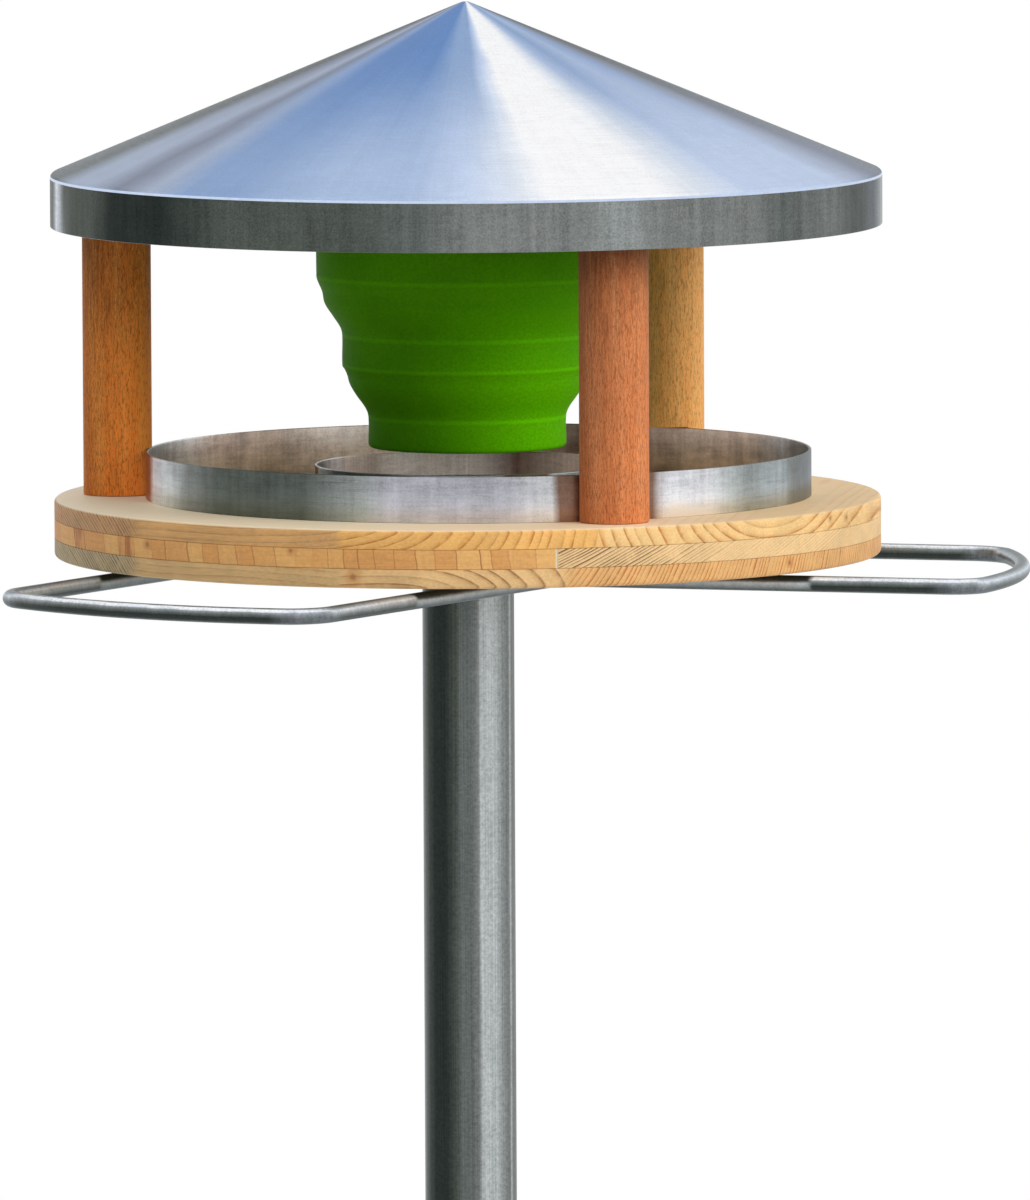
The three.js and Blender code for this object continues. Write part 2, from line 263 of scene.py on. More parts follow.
def lathe(name: str, outline: Outline, sides: int, centre: Vector | None = None) -> Object:
    """Turns an outline round an upright axis.

    Args:
        name: Name of the piece.
        outline: Points of distance and height, from axis to axis, or a loop clear of the axis.
        sides: Number of sides of the turned shape.
        centre: Where the outline's own origin goes.

    Returns:
        The object, with its place in its mesh.
    """
    place = centre or Vector()
    shape = bmesh.new()
    layer = shape.loops.layers.uv.new("UVMap")
    rings = []
    for out, up in outline:
        turns = 1 if out < MM / 1000 else sides
        ring = [shape.verts.new(place + around(out, 180 + 360 * j / sides, up)) for j in range(turns)]
        rings.append(ring)
    is_loop = len(rings[0]) > 1 and len(rings[-1]) > 1
    lengths = [0.0]
    spans = list(zip(outline, outline[1:] + outline[:1]))
    for (out, up), (next_out, next_up) in spans:
        lengths.append(lengths[-1] + math.hypot(next_out - out, next_up - up))
    for i in range(len(spans) if is_loop else len(spans) - 1):
        near, far = rings[i], rings[(i + 1) % len(rings)]
        for j in range(sides):
            k = j + 1
            corners = []
            if len(near) > 1:
                corners += [(near[j], j, i), (near[k % sides], k, i)]
            else:
                corners += [(near[0], j, i)]
            if len(far) > 1:
                corners += [(far[k % sides], k, i + 1), (far[j], j, i + 1)]
            else:
                corners += [(far[0], j, i + 1)]
            face = shape.faces.new([corner[0] for corner in corners])
            for loop, (_, step, row) in zip(face.loops, corners):
                loop[layer].uv = (step / sides, lengths[row] / lengths[-1])
    return from_bmesh(name, shape)


def bake_modifiers(piece: Object) -> Object:
    """Turns a piece's modifiers into its mesh.

    Args:
        piece: The piece.

    Returns:
        The same piece, without modifiers.
    """
    depsgraph = bpy.context.evaluated_depsgraph_get()
    old = piece.data
    mesh = bpy.data.meshes.new_from_object(
        piece.evaluated_get(depsgraph), preserve_all_data_layers=True, depsgraph=depsgraph
    )
    piece.modifiers.clear()
    piece.data = mesh
    bpy.data.meshes.remove(old)
    mesh.name = piece.name
    return piece


def cut(piece: Object, cutters: Sequence[Object]) -> Object:
    """Cuts shapes out of a piece and removes them.

    Args:
        piece: The piece that is kept.
        cutters: The shapes that are used up.

    Returns:
        The piece, with its sharp edges marked again.
    """
    for cutter in cutters:
        modifier = piece.modifiers.new(cutter.name, "BOOLEAN")
        modifier.operation = "DIFFERENCE"
        modifier.solver = "EXACT"
        modifier.object = cutter
    bake_modifiers(piece)
    for cutter in cutters:
        bpy.data.meshes.remove(cutter.data)
    shape = bmesh.new()
    shape.from_mesh(piece.data)
    bmesh.ops.remove_doubles(shape, verts=shape.verts, dist=MM / 500)
    mark_sharp(shape)
    shape.to_mesh(piece.data)
    shape.free()
    return piece


def rod_cutter(radius: float, bottom: Vector, top: Vector, sides: int = 32) -> Object:
    """A round cutter between two points.

    Args:
        radius: Its radius.
        bottom: The middle of its lower end.
        top: The middle of its upper end.
        sides: Number of its sides.

    Returns:
        The cutter.
    """
    axis = top - bottom
    outline = [(0.0, 0.0), (radius, 0.0), (radius, axis.length), (0.0, axis.length)]
    cutter = lathe("cutter", outline, sides)
    turn = axis.to_track_quat("Z", "Y").to_matrix().to_4x4()
    cutter.data.transform(Matrix.Translation(bottom) @ turn)
    return cutter


def box_shape(name: str, size: Vector, middle: Vector, degrees: float = 0.0) -> Object:
    """A box turned about the upright axis through its middle.

    Args:
        name: Name of the object.
        size: Its three sizes.
        middle: Its middle.
        degrees: Its turn, anticlockwise from above.

    Returns:
        The box.
    """
    shape = bmesh.new()
    turn = Matrix.Translation(middle) @ Matrix.Rotation(math.radians(degrees), 4, "Z")
    bmesh.ops.create_cube(shape, size=1.0, matrix=turn @ Matrix.Diagonal((*size, 1.0)))
    return from_bmesh(name, shape)


class GeometryTree:
    """A Geometry Nodes tree with named inputs, run once on a base mesh and turned into a plain mesh."""

    def __init__(self, name: str) -> None:
        """Starts the tree.

        Args:
            name: Name of the tree.
        """
        self.tree = bpy.data.node_groups.new(name, "GeometryNodeTree")
        self.identifiers: dict[str, str] = {}
        interface = self.tree.interface
        interface.new_socket("Geometry", in_out="INPUT", socket_type="NodeSocketGeometry")
        interface.new_socket("Geometry", in_out="OUTPUT", socket_type="NodeSocketGeometry")
        self.group_input = self.tree.nodes.new("NodeGroupInput")
        self.base = self.group_input.outputs["Geometry"]

    def add_input(self, name: str, kind: str) -> Socket:
        """Adds a named input.

        Args:
            name: Name of the input.
            kind: Its type, such as Float or Object.

        Returns:
            The socket that gives its value.
        """
        item = self.tree.interface.new_socket(name, in_out="INPUT", socket_type=f"NodeSocket{kind}")
        self.identifiers[name] = item.identifier
        return self.group_input.outputs[name]

    def node(self, kind: str, feeds: dict[str, Value | Sequence[Socket]], **settings: str) -> Socket:
        """Adds a node.

        Args:
            kind: Its type, without GeometryNode in front.
            feeds: What goes into its inputs, by name.
            settings: Its own settings.

        Returns:
            Its first output.
        """
        prefix = "" if "Node" in kind else "GeometryNode"
        made = self.tree.nodes.new(prefix + kind)
        for key, value in settings.items():
            setattr(made, key, value)
        for key, value in feeds.items():
            socket = next(s for s in made.inputs if s.name == key and s.enabled)
            sources = value if isinstance(value, list) else [value]
            for source in sources:
                if isinstance(source, bpy.types.NodeSocket):
                    self.tree.links.new(source, socket)
                else:
                    socket.default_value = source
        return next(s for s in made.outputs if s.enabled)

    def close(self, geometry: Socket, material: Socket) -> None:
        """Ends the tree with real geometry and a material.

        Args:
            geometry: What the tree has made.
            material: The material for all of it.
        """
        real = self.node("RealizeInstances", {"Geometry": geometry})
        dressed = self.node("SetMaterial", {"Geometry": real, "Material": material})
        output = self.tree.nodes.new("NodeGroupOutput")
        self.tree.links.new(dressed, output.inputs["Geometry"])

    def run(self, name: str, base: bpy.types.Mesh, values: dict[str, object]) -> Object:
        """Runs the tree on a base mesh.

        Args:
            name: Name of the piece.
            base: The mesh that it starts from.
            values: The value of each named input.

        Returns:
            The piece as a plain mesh.
        """
        piece = new_object(name, base)
        modifier = piece.modifiers.new(self.tree.name, "NODES")
        modifier.node_group = self.tree
        for key, value in values.items():
            modifier[self.identifiers[key]] = value
        return bake_modifiers(piece)


def swept_rod_tree() -> GeometryTree:
    """A tree that sweeps a round rod along a chain of edges.

    Returns:
        The tree.
    """
    tree = GeometryTree("Swept rod")
    radius = tree.add_input("Radius", "Float")
    sides = tree.add_input("Sides", "Int")
    material = tree.add_input("Material", "Material")
    path = tree.node("MeshToCurve", {"Mesh": tree.base})
    place, heading = (
        tree.node("ShaderNodeSeparateXYZ", {"Vector": tree.node(f"Input{kind}", {})}).node
        for kind in ("Position", "Tangent")
    )
    marks = {
        "rod_length": tree.node("SplineParameter", {}).node.outputs["Length"],
        "rod_height": place.outputs["Z"],
        "rod_facing": tree.node("ShaderNodeMath", {"Value": heading.outputs["X"]}, operation="ABSOLUTE"),
    }
    marked = path
    for name, value in marks.items():
        feeds = {"Geometry": marked, "Name": name, "Value": value}
        marked = tree.node("StoreNamedAttribute", feeds, data_type="FLOAT", domain="POINT")
    section = tree.node("CurvePrimitiveCircle", {"Resolution": sides, "Radius": radius})
    swept = tree.node("CurveToMesh", {"Curve": marked, "Profile Curve": section, "Fill Caps": True})
    tree.close(tree.node("SetShadeSmooth", {"Geometry": swept}), material)
    return tree


def screw_set_tree() -> GeometryTree:
    """A tree that puts a screw with a wound thread on each point of a mesh.

    Returns:
        The tree.
    """
    tree = GeometryTree("Screw set")
    screw = tree.add_input("Screw", "Object")
    turn = tree.add_input("Turn", "Rotation")
    thread_radius, thread_length, thread_turns, thread_depth = (
        tree.add_input(f"Thread {size}", "Float") for size in ("Radius", "Length", "Turns", "Depth")
    )
    thread_floor = tree.add_input("Thread Floor", "Vector")
    material = tree.add_input("Material", "Material")
    plain = tree.node("ObjectInfo", {"Object": screw}).node
    spiral = tree.node(
        "CurveSpiral",
        {
            "Resolution": 16,
            "Rotations": thread_turns,
            "Start Radius": thread_radius,
            "End Radius": thread_radius,
            "Height": thread_length,
        },
    )
    ridge = tree.node("CurvePrimitiveCircle", {"Resolution": 4, "Radius": thread_depth})
    thread = tree.node("CurveToMesh", {"Curve": spiral, "Profile Curve": ridge, "Fill Caps": True})
    seated = tree.node("Transform", {"Geometry": thread, "Translation": thread_floor})
    whole = tree.node("JoinGeometry", {"Geometry": [plain.outputs["Geometry"], seated]})
    placed = tree.node("InstanceOnPoints", {"Points": tree.base, "Instance": whole, "Rotation": turn})
    tree.close(placed, material)
    return tree


def weld_tree() -> GeometryTree:
    """A tree that lays a weld bead of overlapping drops along each edge of a mesh.

    Returns:
        The tree.
    """
    tree = GeometryTree("Weld bead")
    radius = tree.add_input("Radius", "Float")
    pitch = tree.add_input("Pitch", "Float")
    seed = tree.add_input("Seed", "Int")
    material = tree.add_input("Material", "Material")
    path = tree.node("MeshToCurve", {"Mesh": tree.base})
    spots = tree.node("ResampleCurve", {"Curve": path, "Length": pitch}, mode="LENGTH")
    drop = tree.node("MeshIcoSphere", {"Radius": radius, "Subdivisions": 2})
    size = tree.node(
        "FunctionNodeRandomValue",
        {"Min": (0.85, 0.85, 0.85), "Max": (1.0, 1.0, 1.0), "Seed": seed},
        data_type="FLOAT_VECTOR",
    )
    beads = tree.node("InstanceOnPoints", {"Points": spots, "Instance": drop, "Scale": size})
    tree.close(tree.node("SetShadeSmooth", {"Geometry": beads}), material)
    return tree


def point_mesh(points: Iterable[Vector]) -> bpy.types.Mesh:
    """A mesh of loose points for a tree to work on."""
    mesh = bpy.data.meshes.new("points")
    mesh.from_pydata([tuple(point) for point in points], [], [])
    return mesh


def chain_mesh(chains: Iterable[Sequence[Vector]]) -> bpy.types.Mesh:
    """A mesh of open chains of edges for a tree to work on.

    Args:
        chains: The points of each chain.

    Returns:
        The mesh.
    """
    points: list[tuple[float, ...]] = []
    edges: list[tuple[int, int]] = []
    for chain in chains:
        first = len(points)
        points += [tuple(point) for point in chain]
        edges += [(first + i, first + i + 1) for i in range(len(chain) - 1)]
    mesh = bpy.data.meshes.new("chains")
    mesh.from_pydata(points, edges, [])
    return mesh


class Tone(Enum):
    """Tones of steel: painted reflections of sky, floor and nearby wood that brushed steel takes round a
    turned piece, and plain tones of small metal parts.
    """

    WHITE = (252, 252, 253)
    FROST = (224, 231, 241)
    PALE_SKY = (199, 214, 239)
    SKY = (172, 192, 223)
    MID_SKY = (142, 168, 207)
    DEEP_SKY = (103, 140, 194)
    LAVENDER = (171, 183, 204)
    DUSK = (130, 137, 155)
    STORM = (116, 124, 134)
    SILVER = (176, 182, 182)
    PEWTER = (142, 148, 147)
    GREY = (122, 126, 124)
    SLATE = (98, 104, 102)
    OLIVE = (79, 85, 80)
    SHADE = (60, 66, 62)
    NIGHT = (42, 49, 46)
    # A painted reflection of beech in the steel.
    BARK = (124, 98, 84)
    PEARL = (197, 199, 203)
    BRIGHT = (214, 215, 220)
    # A painted reflection of a beech column in the steel.
    RUST = (158, 100, 62)
    CELADON = (160, 168, 171)
    MIST = (164, 165, 174)
    CHALK = (244, 229, 221)
    SAND = (204, 186, 172)

    @property
    def colour(self) -> Colour:
        """The tone as a linear colour."""
        return linear(*self.value)


Streaks = tuple[tuple[float, Tone], ...]
Shares = tuple[tuple[float, float], ...]


class Graph:
    """The node tree of a material or a world, with a short call for each node that the finishes share."""

    def __init__(self, owner: Material | bpy.types.World) -> None:
        """Clears the owner's tree.

        Args:
            owner: The material or the world.
        """
        self.owner = owner
        owner.use_nodes = True
        self.tree = owner.node_tree
        self.tree.nodes.clear()

    @classmethod
    def of_material(cls, name: str) -> "Graph":
        """The empty tree of a new material."""
        return cls(bpy.data.materials.new(name))

    @cached_property
    def place(self) -> Socket:
        """The place on the piece."""
        return self.add("TexCoord", {}).outputs["Object"]

    def add(self, kind: str, feeds: dict[str | int, Value], **settings: object) -> bpy.types.Node:
        """Adds a shader node.

        Args:
            kind: Its type, without ShaderNode in front.
            feeds: What goes into its inputs, by name or number.
            settings: Its own settings.

        Returns:
            The node.
        """
        made = self.tree.nodes.new(f"ShaderNode{kind}")
        for key, value in settings.items():
            setattr(made, key, value)
        for key, value in feeds.items():
            if isinstance(value, bpy.types.NodeSocket):
                self.tree.links.new(value, made.inputs[key])
            else:
                made.inputs[key].default_value = value
        return made

    def math(self, operation: str, first: Value, second: Value = 0.0, third: Value = 0.0) -> Socket:
        """The result of a Math node."""
        feeds = {0: first, 1: second, 2: third}
        return self.add("Math", feeds, operation=operation).outputs[0]

    def plus(self, first: Value, second: Value) -> Socket:
        """The sum of two values."""
        return self.math("ADD", first, second)

    def minus(self, first: Value, second: Value) -> Socket:
        """A value less another."""
        return self.math("SUBTRACT", first, second)

    def times(self, first: Value, second: Value) -> Socket:
        """The product of two values."""
        return self.math("MULTIPLY", first, second)

    def times_plus(self, first: Value, second: Value, third: Value) -> Socket:
        """The product of two values plus a third."""
        return self.math("MULTIPLY_ADD", first, second, third)

    def reach(self, x: Value, y: Value) -> Socket:
        """The distance from the origin to a place in a plane."""
        return self.math("SQRT", self.times_plus(x, x, self.times(y, y)))

    def attribute(self, name: str) -> Socket:
        """A value that is stored on the mesh."""
        return self.add("Attribute", {}, attribute_name=name).outputs["Fac"]

    def vector(self, x: Value, y: Value, z: Value) -> Socket:
        """A vector of three values."""
        return self.add("CombineXYZ", {"X": x, "Y": y, "Z": z}).outputs[0]

    def moved(self, origin: Vector) -> Socket:
        """The place on the piece, counted from an origin."""
        return self.add("VectorMath", {0: self.place, 1: origin}, operation="SUBTRACT").outputs[0]

    def scaled(self, vector: Value, scale: tuple[float, float, float]) -> Socket:
        """A vector times a scale on each axis."""
        return self.add("VectorMath", {0: vector, 1: scale}, operation="MULTIPLY").outputs[0]

    def split(self, vector: Value) -> tuple[Socket, Socket, Socket]:
        """The three values of a vector."""
        outputs = self.add("SeparateXYZ", {0: vector}).outputs
        return outputs[0], outputs[1], outputs[2]

    def noise(self, vector: Value, scale: float, detail: float = 2.0, roughness: float = 0.5) -> Socket:
        """A noise between 0 and 1 about 0.5.

        Args:
            vector: Where it is read.
            scale: How fine it is.
            detail: How many finer layers it has.
            roughness: How strong those layers are.

        Returns:
            Its value.
        """
        feeds = {"Vector": vector, "Scale": scale, "Detail": detail, "Roughness": roughness}
        return self.add("TexNoise", feeds).outputs[0]

    def between(
        self, value: Value, low: Value, high: Value, to_low: Value = 0.0, to_high: Value = 1.0
    ) -> Socket:
        """A smooth step of a value from one range to another.

        Args:
            value: The value.
            low: Where the step starts.
            high: Where it ends.
            to_low: Its result at the start.
            to_high: Its result at the end.

        Returns:
            The stepped value.
        """
        feeds = {0: value, 1: low, 2: high, 3: to_low, 4: to_high}
        return self.add("MapRange", feeds, interpolation_type="SMOOTHSTEP").outputs[0]

    def swing(self, noise: Socket, depth: float) -> Socket:
        """A noise about 0.5 as a change of up to a depth either way."""
        return self.between(noise, 0.3, 0.7, -depth, depth)

    def total(self, *values: Value) -> Value:
        """The sum of some values."""
        result = values[0]
        for value in values[1:]:
            result = self.plus(result, value)
        return result

    def mix(self, share: Value, first: Value, second: Value) -> Socket:
        """A mix of two colours, with a share of the second."""
        return self.add("Mix", {0: share, 6: first, 7: second}, data_type="RGBA").outputs[2]

    def ramp(self, share: Value, stops: Sequence[tuple[float, Colour]]) -> Socket:
        """A colour that runs through stops.

        Args:
            share: Where on the run it is read, 0 to 1.
            stops: Place and colour of each stop.

        Returns:
            The colour.
        """
        made = self.add("ValToRGB", {0: share})
        elements = made.color_ramp.elements
        while len(elements) < len(stops):
            elements.new(1.0)
        for element, (place, colour) in zip(elements, sorted(stops, key=lambda stop: stop[0])):
            element.position = place
            element.color = colour
        return made.outputs[0]

    def toned(self, share: Value, stops: Streaks) -> Socket:
        """A colour that runs through tones of steel."""
        return self.ramp(share, [(place, tone.colour) for place, tone in stops])

    def lightened(self, colour: Value, value: Value) -> Socket:
        """A colour times a brightness."""
        return self.add("HueSaturation", {"Color": colour, "Value": value}).outputs[0]

    def bump(self, height: Value, strength: float, distance: float) -> Socket:
        """The normal that a height gives."""
        feeds = {"Height": height, "Strength": strength, "Distance": distance}
        return self.add("Bump", feeds).outputs[0]

    def finish(self, **inputs: Value) -> Material:
        """Ends the material with one shader.

        Args:
            inputs: The shader's inputs, with underscores for the spaces in their names.

        Returns:
            The material.
        """
        feeds = {key.replace("_", " "): value for key, value in inputs.items()}
        shader = self.add("BsdfPrincipled", feeds)
        output = self.add("OutputMaterial", {})
        self.tree.links.new(shader.outputs[0], output.inputs["Surface"])
        return self.owner


@dataclass(frozen=True)
class SteelFinish:
    """Brushed stainless steel, toned by streaks of painted reflection that run along a turned piece.

    The streaks' angles are counted from the direction that the photo was taken from.
    """

    name: str
    streaks: Streaks
    rim_streaks: Streaks = ()
    rim_start: float = 40 * MM
    rim_end: float = 165 * MM
    centre: Vector = field(default_factory=Vector)
    roughness: float = 0.34
    waver: float = 2.5
    marks_per_metre: float = 620.0
    grain: float = 0.1
    line_fineness: float = 42.0
    line_depth: float = 0.1
    scratches: float = 0.0
    speckle: float = 0.1
    mottle: float = 0.05
    # Painted light: how much lighter the steel is made towards its foot, and over what height.
    painted_foot_light: float = 0.0
    foot_light_height: float = 17 * MM
    edge: Colour = grey(0.75)

    def material(self) -> Material:
        """The finish as a material."""
        graph = Graph.of_material(self.name)
        x, y, z = graph.split(graph.moved(self.centre))
        flat = graph.vector(x, y, 0.0)
        distance = graph.add("VectorMath", {0: flat}, operation="LENGTH").outputs["Value"]
        spoke = graph.add("VectorMath", {0: flat}, operation="NORMALIZE").outputs[0]
        spoke_x, spoke_y, _ = graph.split(spoke)
        along = graph.minus(z, distance)

        def stretched(turns: float, per_metre: float, detail: float) -> Socket:
            """A noise that is stretched round the piece or along it, and closes on itself."""
            place = graph.vector(
                graph.times(spoke_x, turns), graph.times(spoke_y, turns), graph.times(along, per_metre)
            )
            return graph.noise(place, 1.0, detail, 0.62)

        # The tone is a painted reflection, taken from the streaks by the angle round the piece.
        turn = graph.math("ARCTAN2", spoke_x, graph.times(spoke_y, -1.0))
        start = 0.5 - (PHOTO_AZIMUTH + self.waver) / 360
        share = graph.times_plus(stretched(3.0, 18.0, 2.0), self.waver / 180, start)
        share = graph.math("FRACT", graph.times_plus(turn, 0.5 / math.pi, share))
        tone = self.tone(graph, share, distance)
        marks = stretched(9.0, self.marks_per_metre, 4.0)
        lines = stretched(self.line_fineness, 9.0, 3.0)
        specks = graph.noise(graph.place, 1100.0, 2.0, 0.7)
        patches = graph.noise(graph.place, 70.0, 4.0, 0.65)
        level = graph.total(
            graph.swing(lines, self.line_depth),
            graph.swing(marks, self.grain),
            graph.swing(specks, self.speckle),
            graph.swing(patches, self.mottle),
            1.0,
        )
        # Painted light towards the foot.
        if self.painted_foot_light:
            level = graph.plus(level, graph.between(z, 0.0, self.foot_light_height, self.painted_foot_light, 0.0))
        if self.scratches:
            cuts = stretched(5.0, self.marks_per_metre * 2.2, 2.0)
            level = graph.minus(level, graph.between(cuts, 0.6, 0.7, 0.0, self.scratches))
        tangent = graph.add("Tangent", {}, direction_type="UV_MAP", uv_map="UVMap").outputs[0]
        return graph.finish(
            Base_Color=graph.lightened(tone, level),
            Metallic=1.0,
            Roughness=graph.times_plus(marks, 0.2, self.roughness - 0.1),
            Anisotropic=0.4,
            Specular_Tint=self.edge,
            Tangent=tangent,
            Normal=graph.bump(marks, 0.08, 0.0002),
        )

    def tone(self, graph: Graph, share: Socket, distance: Socket) -> Socket:
        """The painted reflection at each angle, with another set of streaks towards the rim where there is
        one.

        Args:
            graph: The material that it is drawn in.
            share: The angle as a share of the whole turn, from the back.
            distance: The distance from the axis.

        Returns:
            The tone.
        """
        tone = graph.toned(share, self.shares(self.streaks))
        if not self.rim_streaks:
            return tone
        rim_tone = graph.toned(share, self.shares(self.rim_streaks))
        return graph.mix(graph.between(distance, self.rim_start, self.rim_end), tone, rim_tone)

    @staticmethod
    def shares(streaks: Streaks) -> Streaks:
        """Streaks with each angle as a share of the whole turn, from the back."""
        return tuple((degrees / 360 + 0.5, tone) for degrees, tone in streaks)


@dataclass(frozen=True)
class RodFinish:
    """Drawn stainless rod with painted reflection and highlight, pale above and dark below in the open, with
    bends that are worn by rubbing and painted with a highlight, and painted shade above where the board shades
    it.
    """

    name: str
    rod_radius: float
    bends: Shares
    shade_radius: float
    roughness: float = 0.33
    metal: float = 0.6
    # Painted reflection and highlight across a stretch that runs left to right in the open, from its underside
    # up.
    bar_tones: Streaks = (
        (0.0, Tone.SILVER), (0.06, Tone.GREY), (0.16, Tone.SHADE), (0.42, Tone.NIGHT), (0.6, Tone.SLATE),
        (0.74, Tone.PEWTER), (0.8, Tone.FROST), (0.92, Tone.WHITE), (0.97, Tone.PEWTER), (1.0, Tone.GREY),
    )
    # Painted reflection and highlight across a stretch that runs front to back in the open, from its underside
    # up.
    leg_tones: Streaks = (
        (0.0, Tone.GREY), (0.1, Tone.SLATE), (0.28, Tone.OLIVE), (0.46, Tone.GREY), (0.62, Tone.SILVER),
        (0.76, Tone.FROST), (0.88, Tone.SILVER), (0.96, Tone.GREY), (1.0, Tone.SLATE),
    )
    # Painted shade across the rod under the board, from its underside up: dark on top, where the board's
    # underside is reflected.
    shaded_tones: Streaks = (
        (0.0, Tone.GREY), (0.12, Tone.SLATE), (0.34, Tone.PEWTER), (0.56, Tone.SILVER), (0.66, Tone.STORM),
        (0.74, Tone.SHADE), (1.0, Tone.NIGHT),
    )

    def material(self) -> Material:
        """The finish as a material."""
        graph = Graph.of_material(self.name)
        x, y, z = graph.split(graph.place)
        length = graph.attribute("rod_length")
        axis_height = graph.attribute("rod_height")
        patches = graph.noise(graph.place, 120.0, 4.0, 0.65)
        share = graph.times_plus(graph.minus(z, axis_height), 0.5 / self.rod_radius, 0.5)
        share = graph.plus(share, graph.swing(patches, 0.015))
        marks = graph.noise(graph.vector(graph.times(length, 500.0), share, 0.0), 1.0, 4.0, 0.7)
        facing = graph.attribute("rod_facing")
        # Painted reflection and highlight, chosen by which way the stretch runs.
        open_leg, open_bar = graph.toned(share, self.leg_tones), graph.toned(share, self.bar_tones)
        tone = graph.mix(graph.between(facing, 0.55, 0.8), open_leg, open_bar)
        # Each bend is painted paler: marks worn by rubbing, with a painted highlight.
        for start, end in self.bends:
            reach = (end - start) / 2
            off = graph.math("ABSOLUTE", graph.minus(length, (start + end) / 2))
            rubbed_and_sheen = graph.between(off, reach * 1.6, reach * 0.4, 0.0, 0.26)
            tone = graph.mix(rubbed_and_sheen, tone, graph.mix(marks, Tone.STORM.colour, Tone.FROST.colour))
        distance = graph.reach(x, y)
        # Painted shade above, under the board.
        shaded = graph.between(distance, self.shade_radius * 0.985, self.shade_radius, 1.0, 0.0)
        tone = graph.mix(shaded, tone, graph.toned(share, self.shaded_tones))
        specks = graph.noise(graph.place, 1000.0, 2.0, 0.7)
        grain = graph.total(graph.swing(marks, 0.08), graph.swing(specks, 0.12))
        level = graph.total(grain, graph.swing(patches, 0.06), 1.0)
        return graph.finish(
            Base_Color=graph.lightened(tone, level),
            Metallic=self.metal,
            Roughness=graph.times_plus(marks, 0.14, self.roughness - 0.07),
            Specular_Tint=(0.5, 0.55, 0.6, 1.0),
            Normal=graph.bump(specks, 0.08, 0.0002),
        )


@dataclass(frozen=True)
class PlainMetalFinish:
    """Small metal parts: a soft shine with faint mottling."""

    name: str
    tone: Tone
    roughness: float = 0.32

    def material(self) -> Material:
        """The finish as a material."""
        graph = Graph.of_material(self.name)
        mottle = graph.noise(graph.place, 260.0, 3.0, 0.6)
        level = graph.times_plus(mottle, 0.35, 0.83)
        return graph.finish(
            Base_Color=graph.lightened(self.tone.colour, level),
            Metallic=1.0,
            Roughness=graph.times_plus(mottle, 0.2, self.roughness - 0.1),
            Normal=graph.bump(mottle, 0.1, 0.0002),
        )


@dataclass(frozen=True)
class Log:
    """How the growth rings lie in one length of wood, and its colours."""

    grain_degrees: float
    pith_across: float
    pith_height: float
    ring_width: float
    early: Colour
    late: Colour
    ring_waver: float = 1.6 * MM
    contrast: float = 0.6
    patchiness: float = 0.08
    fade: tuple[float, float] | None = None
    # How dark one ring is, from its early wood to its late wood.
    ring_shape: Shares = (
        (0.0, 0.0), (0.5, 0.1), (0.76, 0.38), (0.9, 1.0), (0.97, 0.3), (1.0, 0.0),
    )

    def colour(self, graph: Graph, floor: float) -> Socket:
        """The wood's colour at each place.

        Args:
            graph: The material that it is drawn in.
            floor: The height that the pith's height is counted from.

        Returns:
            The colour.
        """
        x, y, z = graph.split(graph.place)
        cosine, sine = math.cos(math.radians(self.grain_degrees)), math.sin(math.radians(self.grain_degrees))
        along = graph.times_plus(x, cosine, graph.times(y, sine))
        across = graph.times_plus(y, cosine, graph.times(x, -sine))
        drift = graph.noise(graph.vector(graph.times(along, 0.35), across, z), 26.0, 2.0)
        drift = graph.times_plus(drift, 2 * self.ring_waver, -self.ring_waver)
        side = graph.minus(across, self.pith_across)
        rise = graph.minus(z, floor + self.pith_height)
        from_pith = graph.plus(graph.reach(side, rise), drift)
        unevenness = graph.noise(graph.vector(from_pith, 0.0, 0.0), 0.22 / self.ring_width, 1.0)
        rings = graph.times_plus(unevenness, 2.4, graph.math("DIVIDE", from_pith, self.ring_width))
        phase = graph.math("FRACT", rings)
        darkening = graph.ramp(phase, [(place, grey(level)) for place, level in self.ring_shape])
        fibre_at = graph.vector(
            graph.times(along, 60.0),
            graph.times(across, 1400.0),
            graph.times(z, 1400.0),
        )
        fibres = graph.noise(fibre_at, 1.0, 3.0, 0.65)
        clouds = graph.noise(graph.place, 55.0, 3.0, 0.55)
        wear = graph.noise(graph.place, 160.0, 3.0, 0.6)
        ring_number = graph.math("FLOOR", rings)
        chance = graph.add("TexWhiteNoise", {"W": ring_number}, noise_dimensions="1D").outputs["Value"]
        strength = graph.times_plus(chance, self.contrast, 0.5 * self.contrast)
        strength = graph.times(strength, graph.between(wear, 0.3, 0.62, 0.5, 1.4))
        if self.fade:
            start, end = self.fade
            strength = graph.times(strength, graph.between(x, start, end, 1.5, 0.3))
        wood = graph.mix(graph.times(darkening, strength), self.early, self.late)
        tint = graph.times_plus(chance, self.patchiness, -self.patchiness / 2)
        level = graph.total(tint, graph.swing(fibres, 0.09), graph.swing(clouds, 0.07), 1.0)
        return graph.lightened(wood, level)


@dataclass(frozen=True)
class Knot:
    """A small dark knot in the board's side."""

    degrees: float
    height: float
    size: float

    def over(self, graph: Graph, wood: Socket, radius: float, floor: float) -> Socket:
        """The wood with the knot in it.

        Args:
            graph: The material that it is drawn in.
            wood: The wood's colour.
            radius: The board's radius.
            floor: Height of the board's underside.

        Returns:
            The colour.
        """
        middle = around(radius, self.degrees, floor + self.height)
        feeds = {0: graph.place, 1: middle}
        distance = graph.add("VectorMath", feeds, operation="DISTANCE").outputs["Value"]
        ragged = graph.noise(graph.place, 420.0, 3.0, 0.7)
        distance = graph.times(distance, graph.times_plus(ragged, 1.6, 0.3))
        halo = graph.between(distance, self.size * 0.4, self.size * 2.2, 0.6, 0.0)
        core = graph.between(distance, self.size * 0.2, self.size * 0.8, 0.5, 0.0)
        wood = graph.mix(halo, wood, linear(190, 126, 66))
        return graph.mix(core, wood, linear(110, 58, 30))


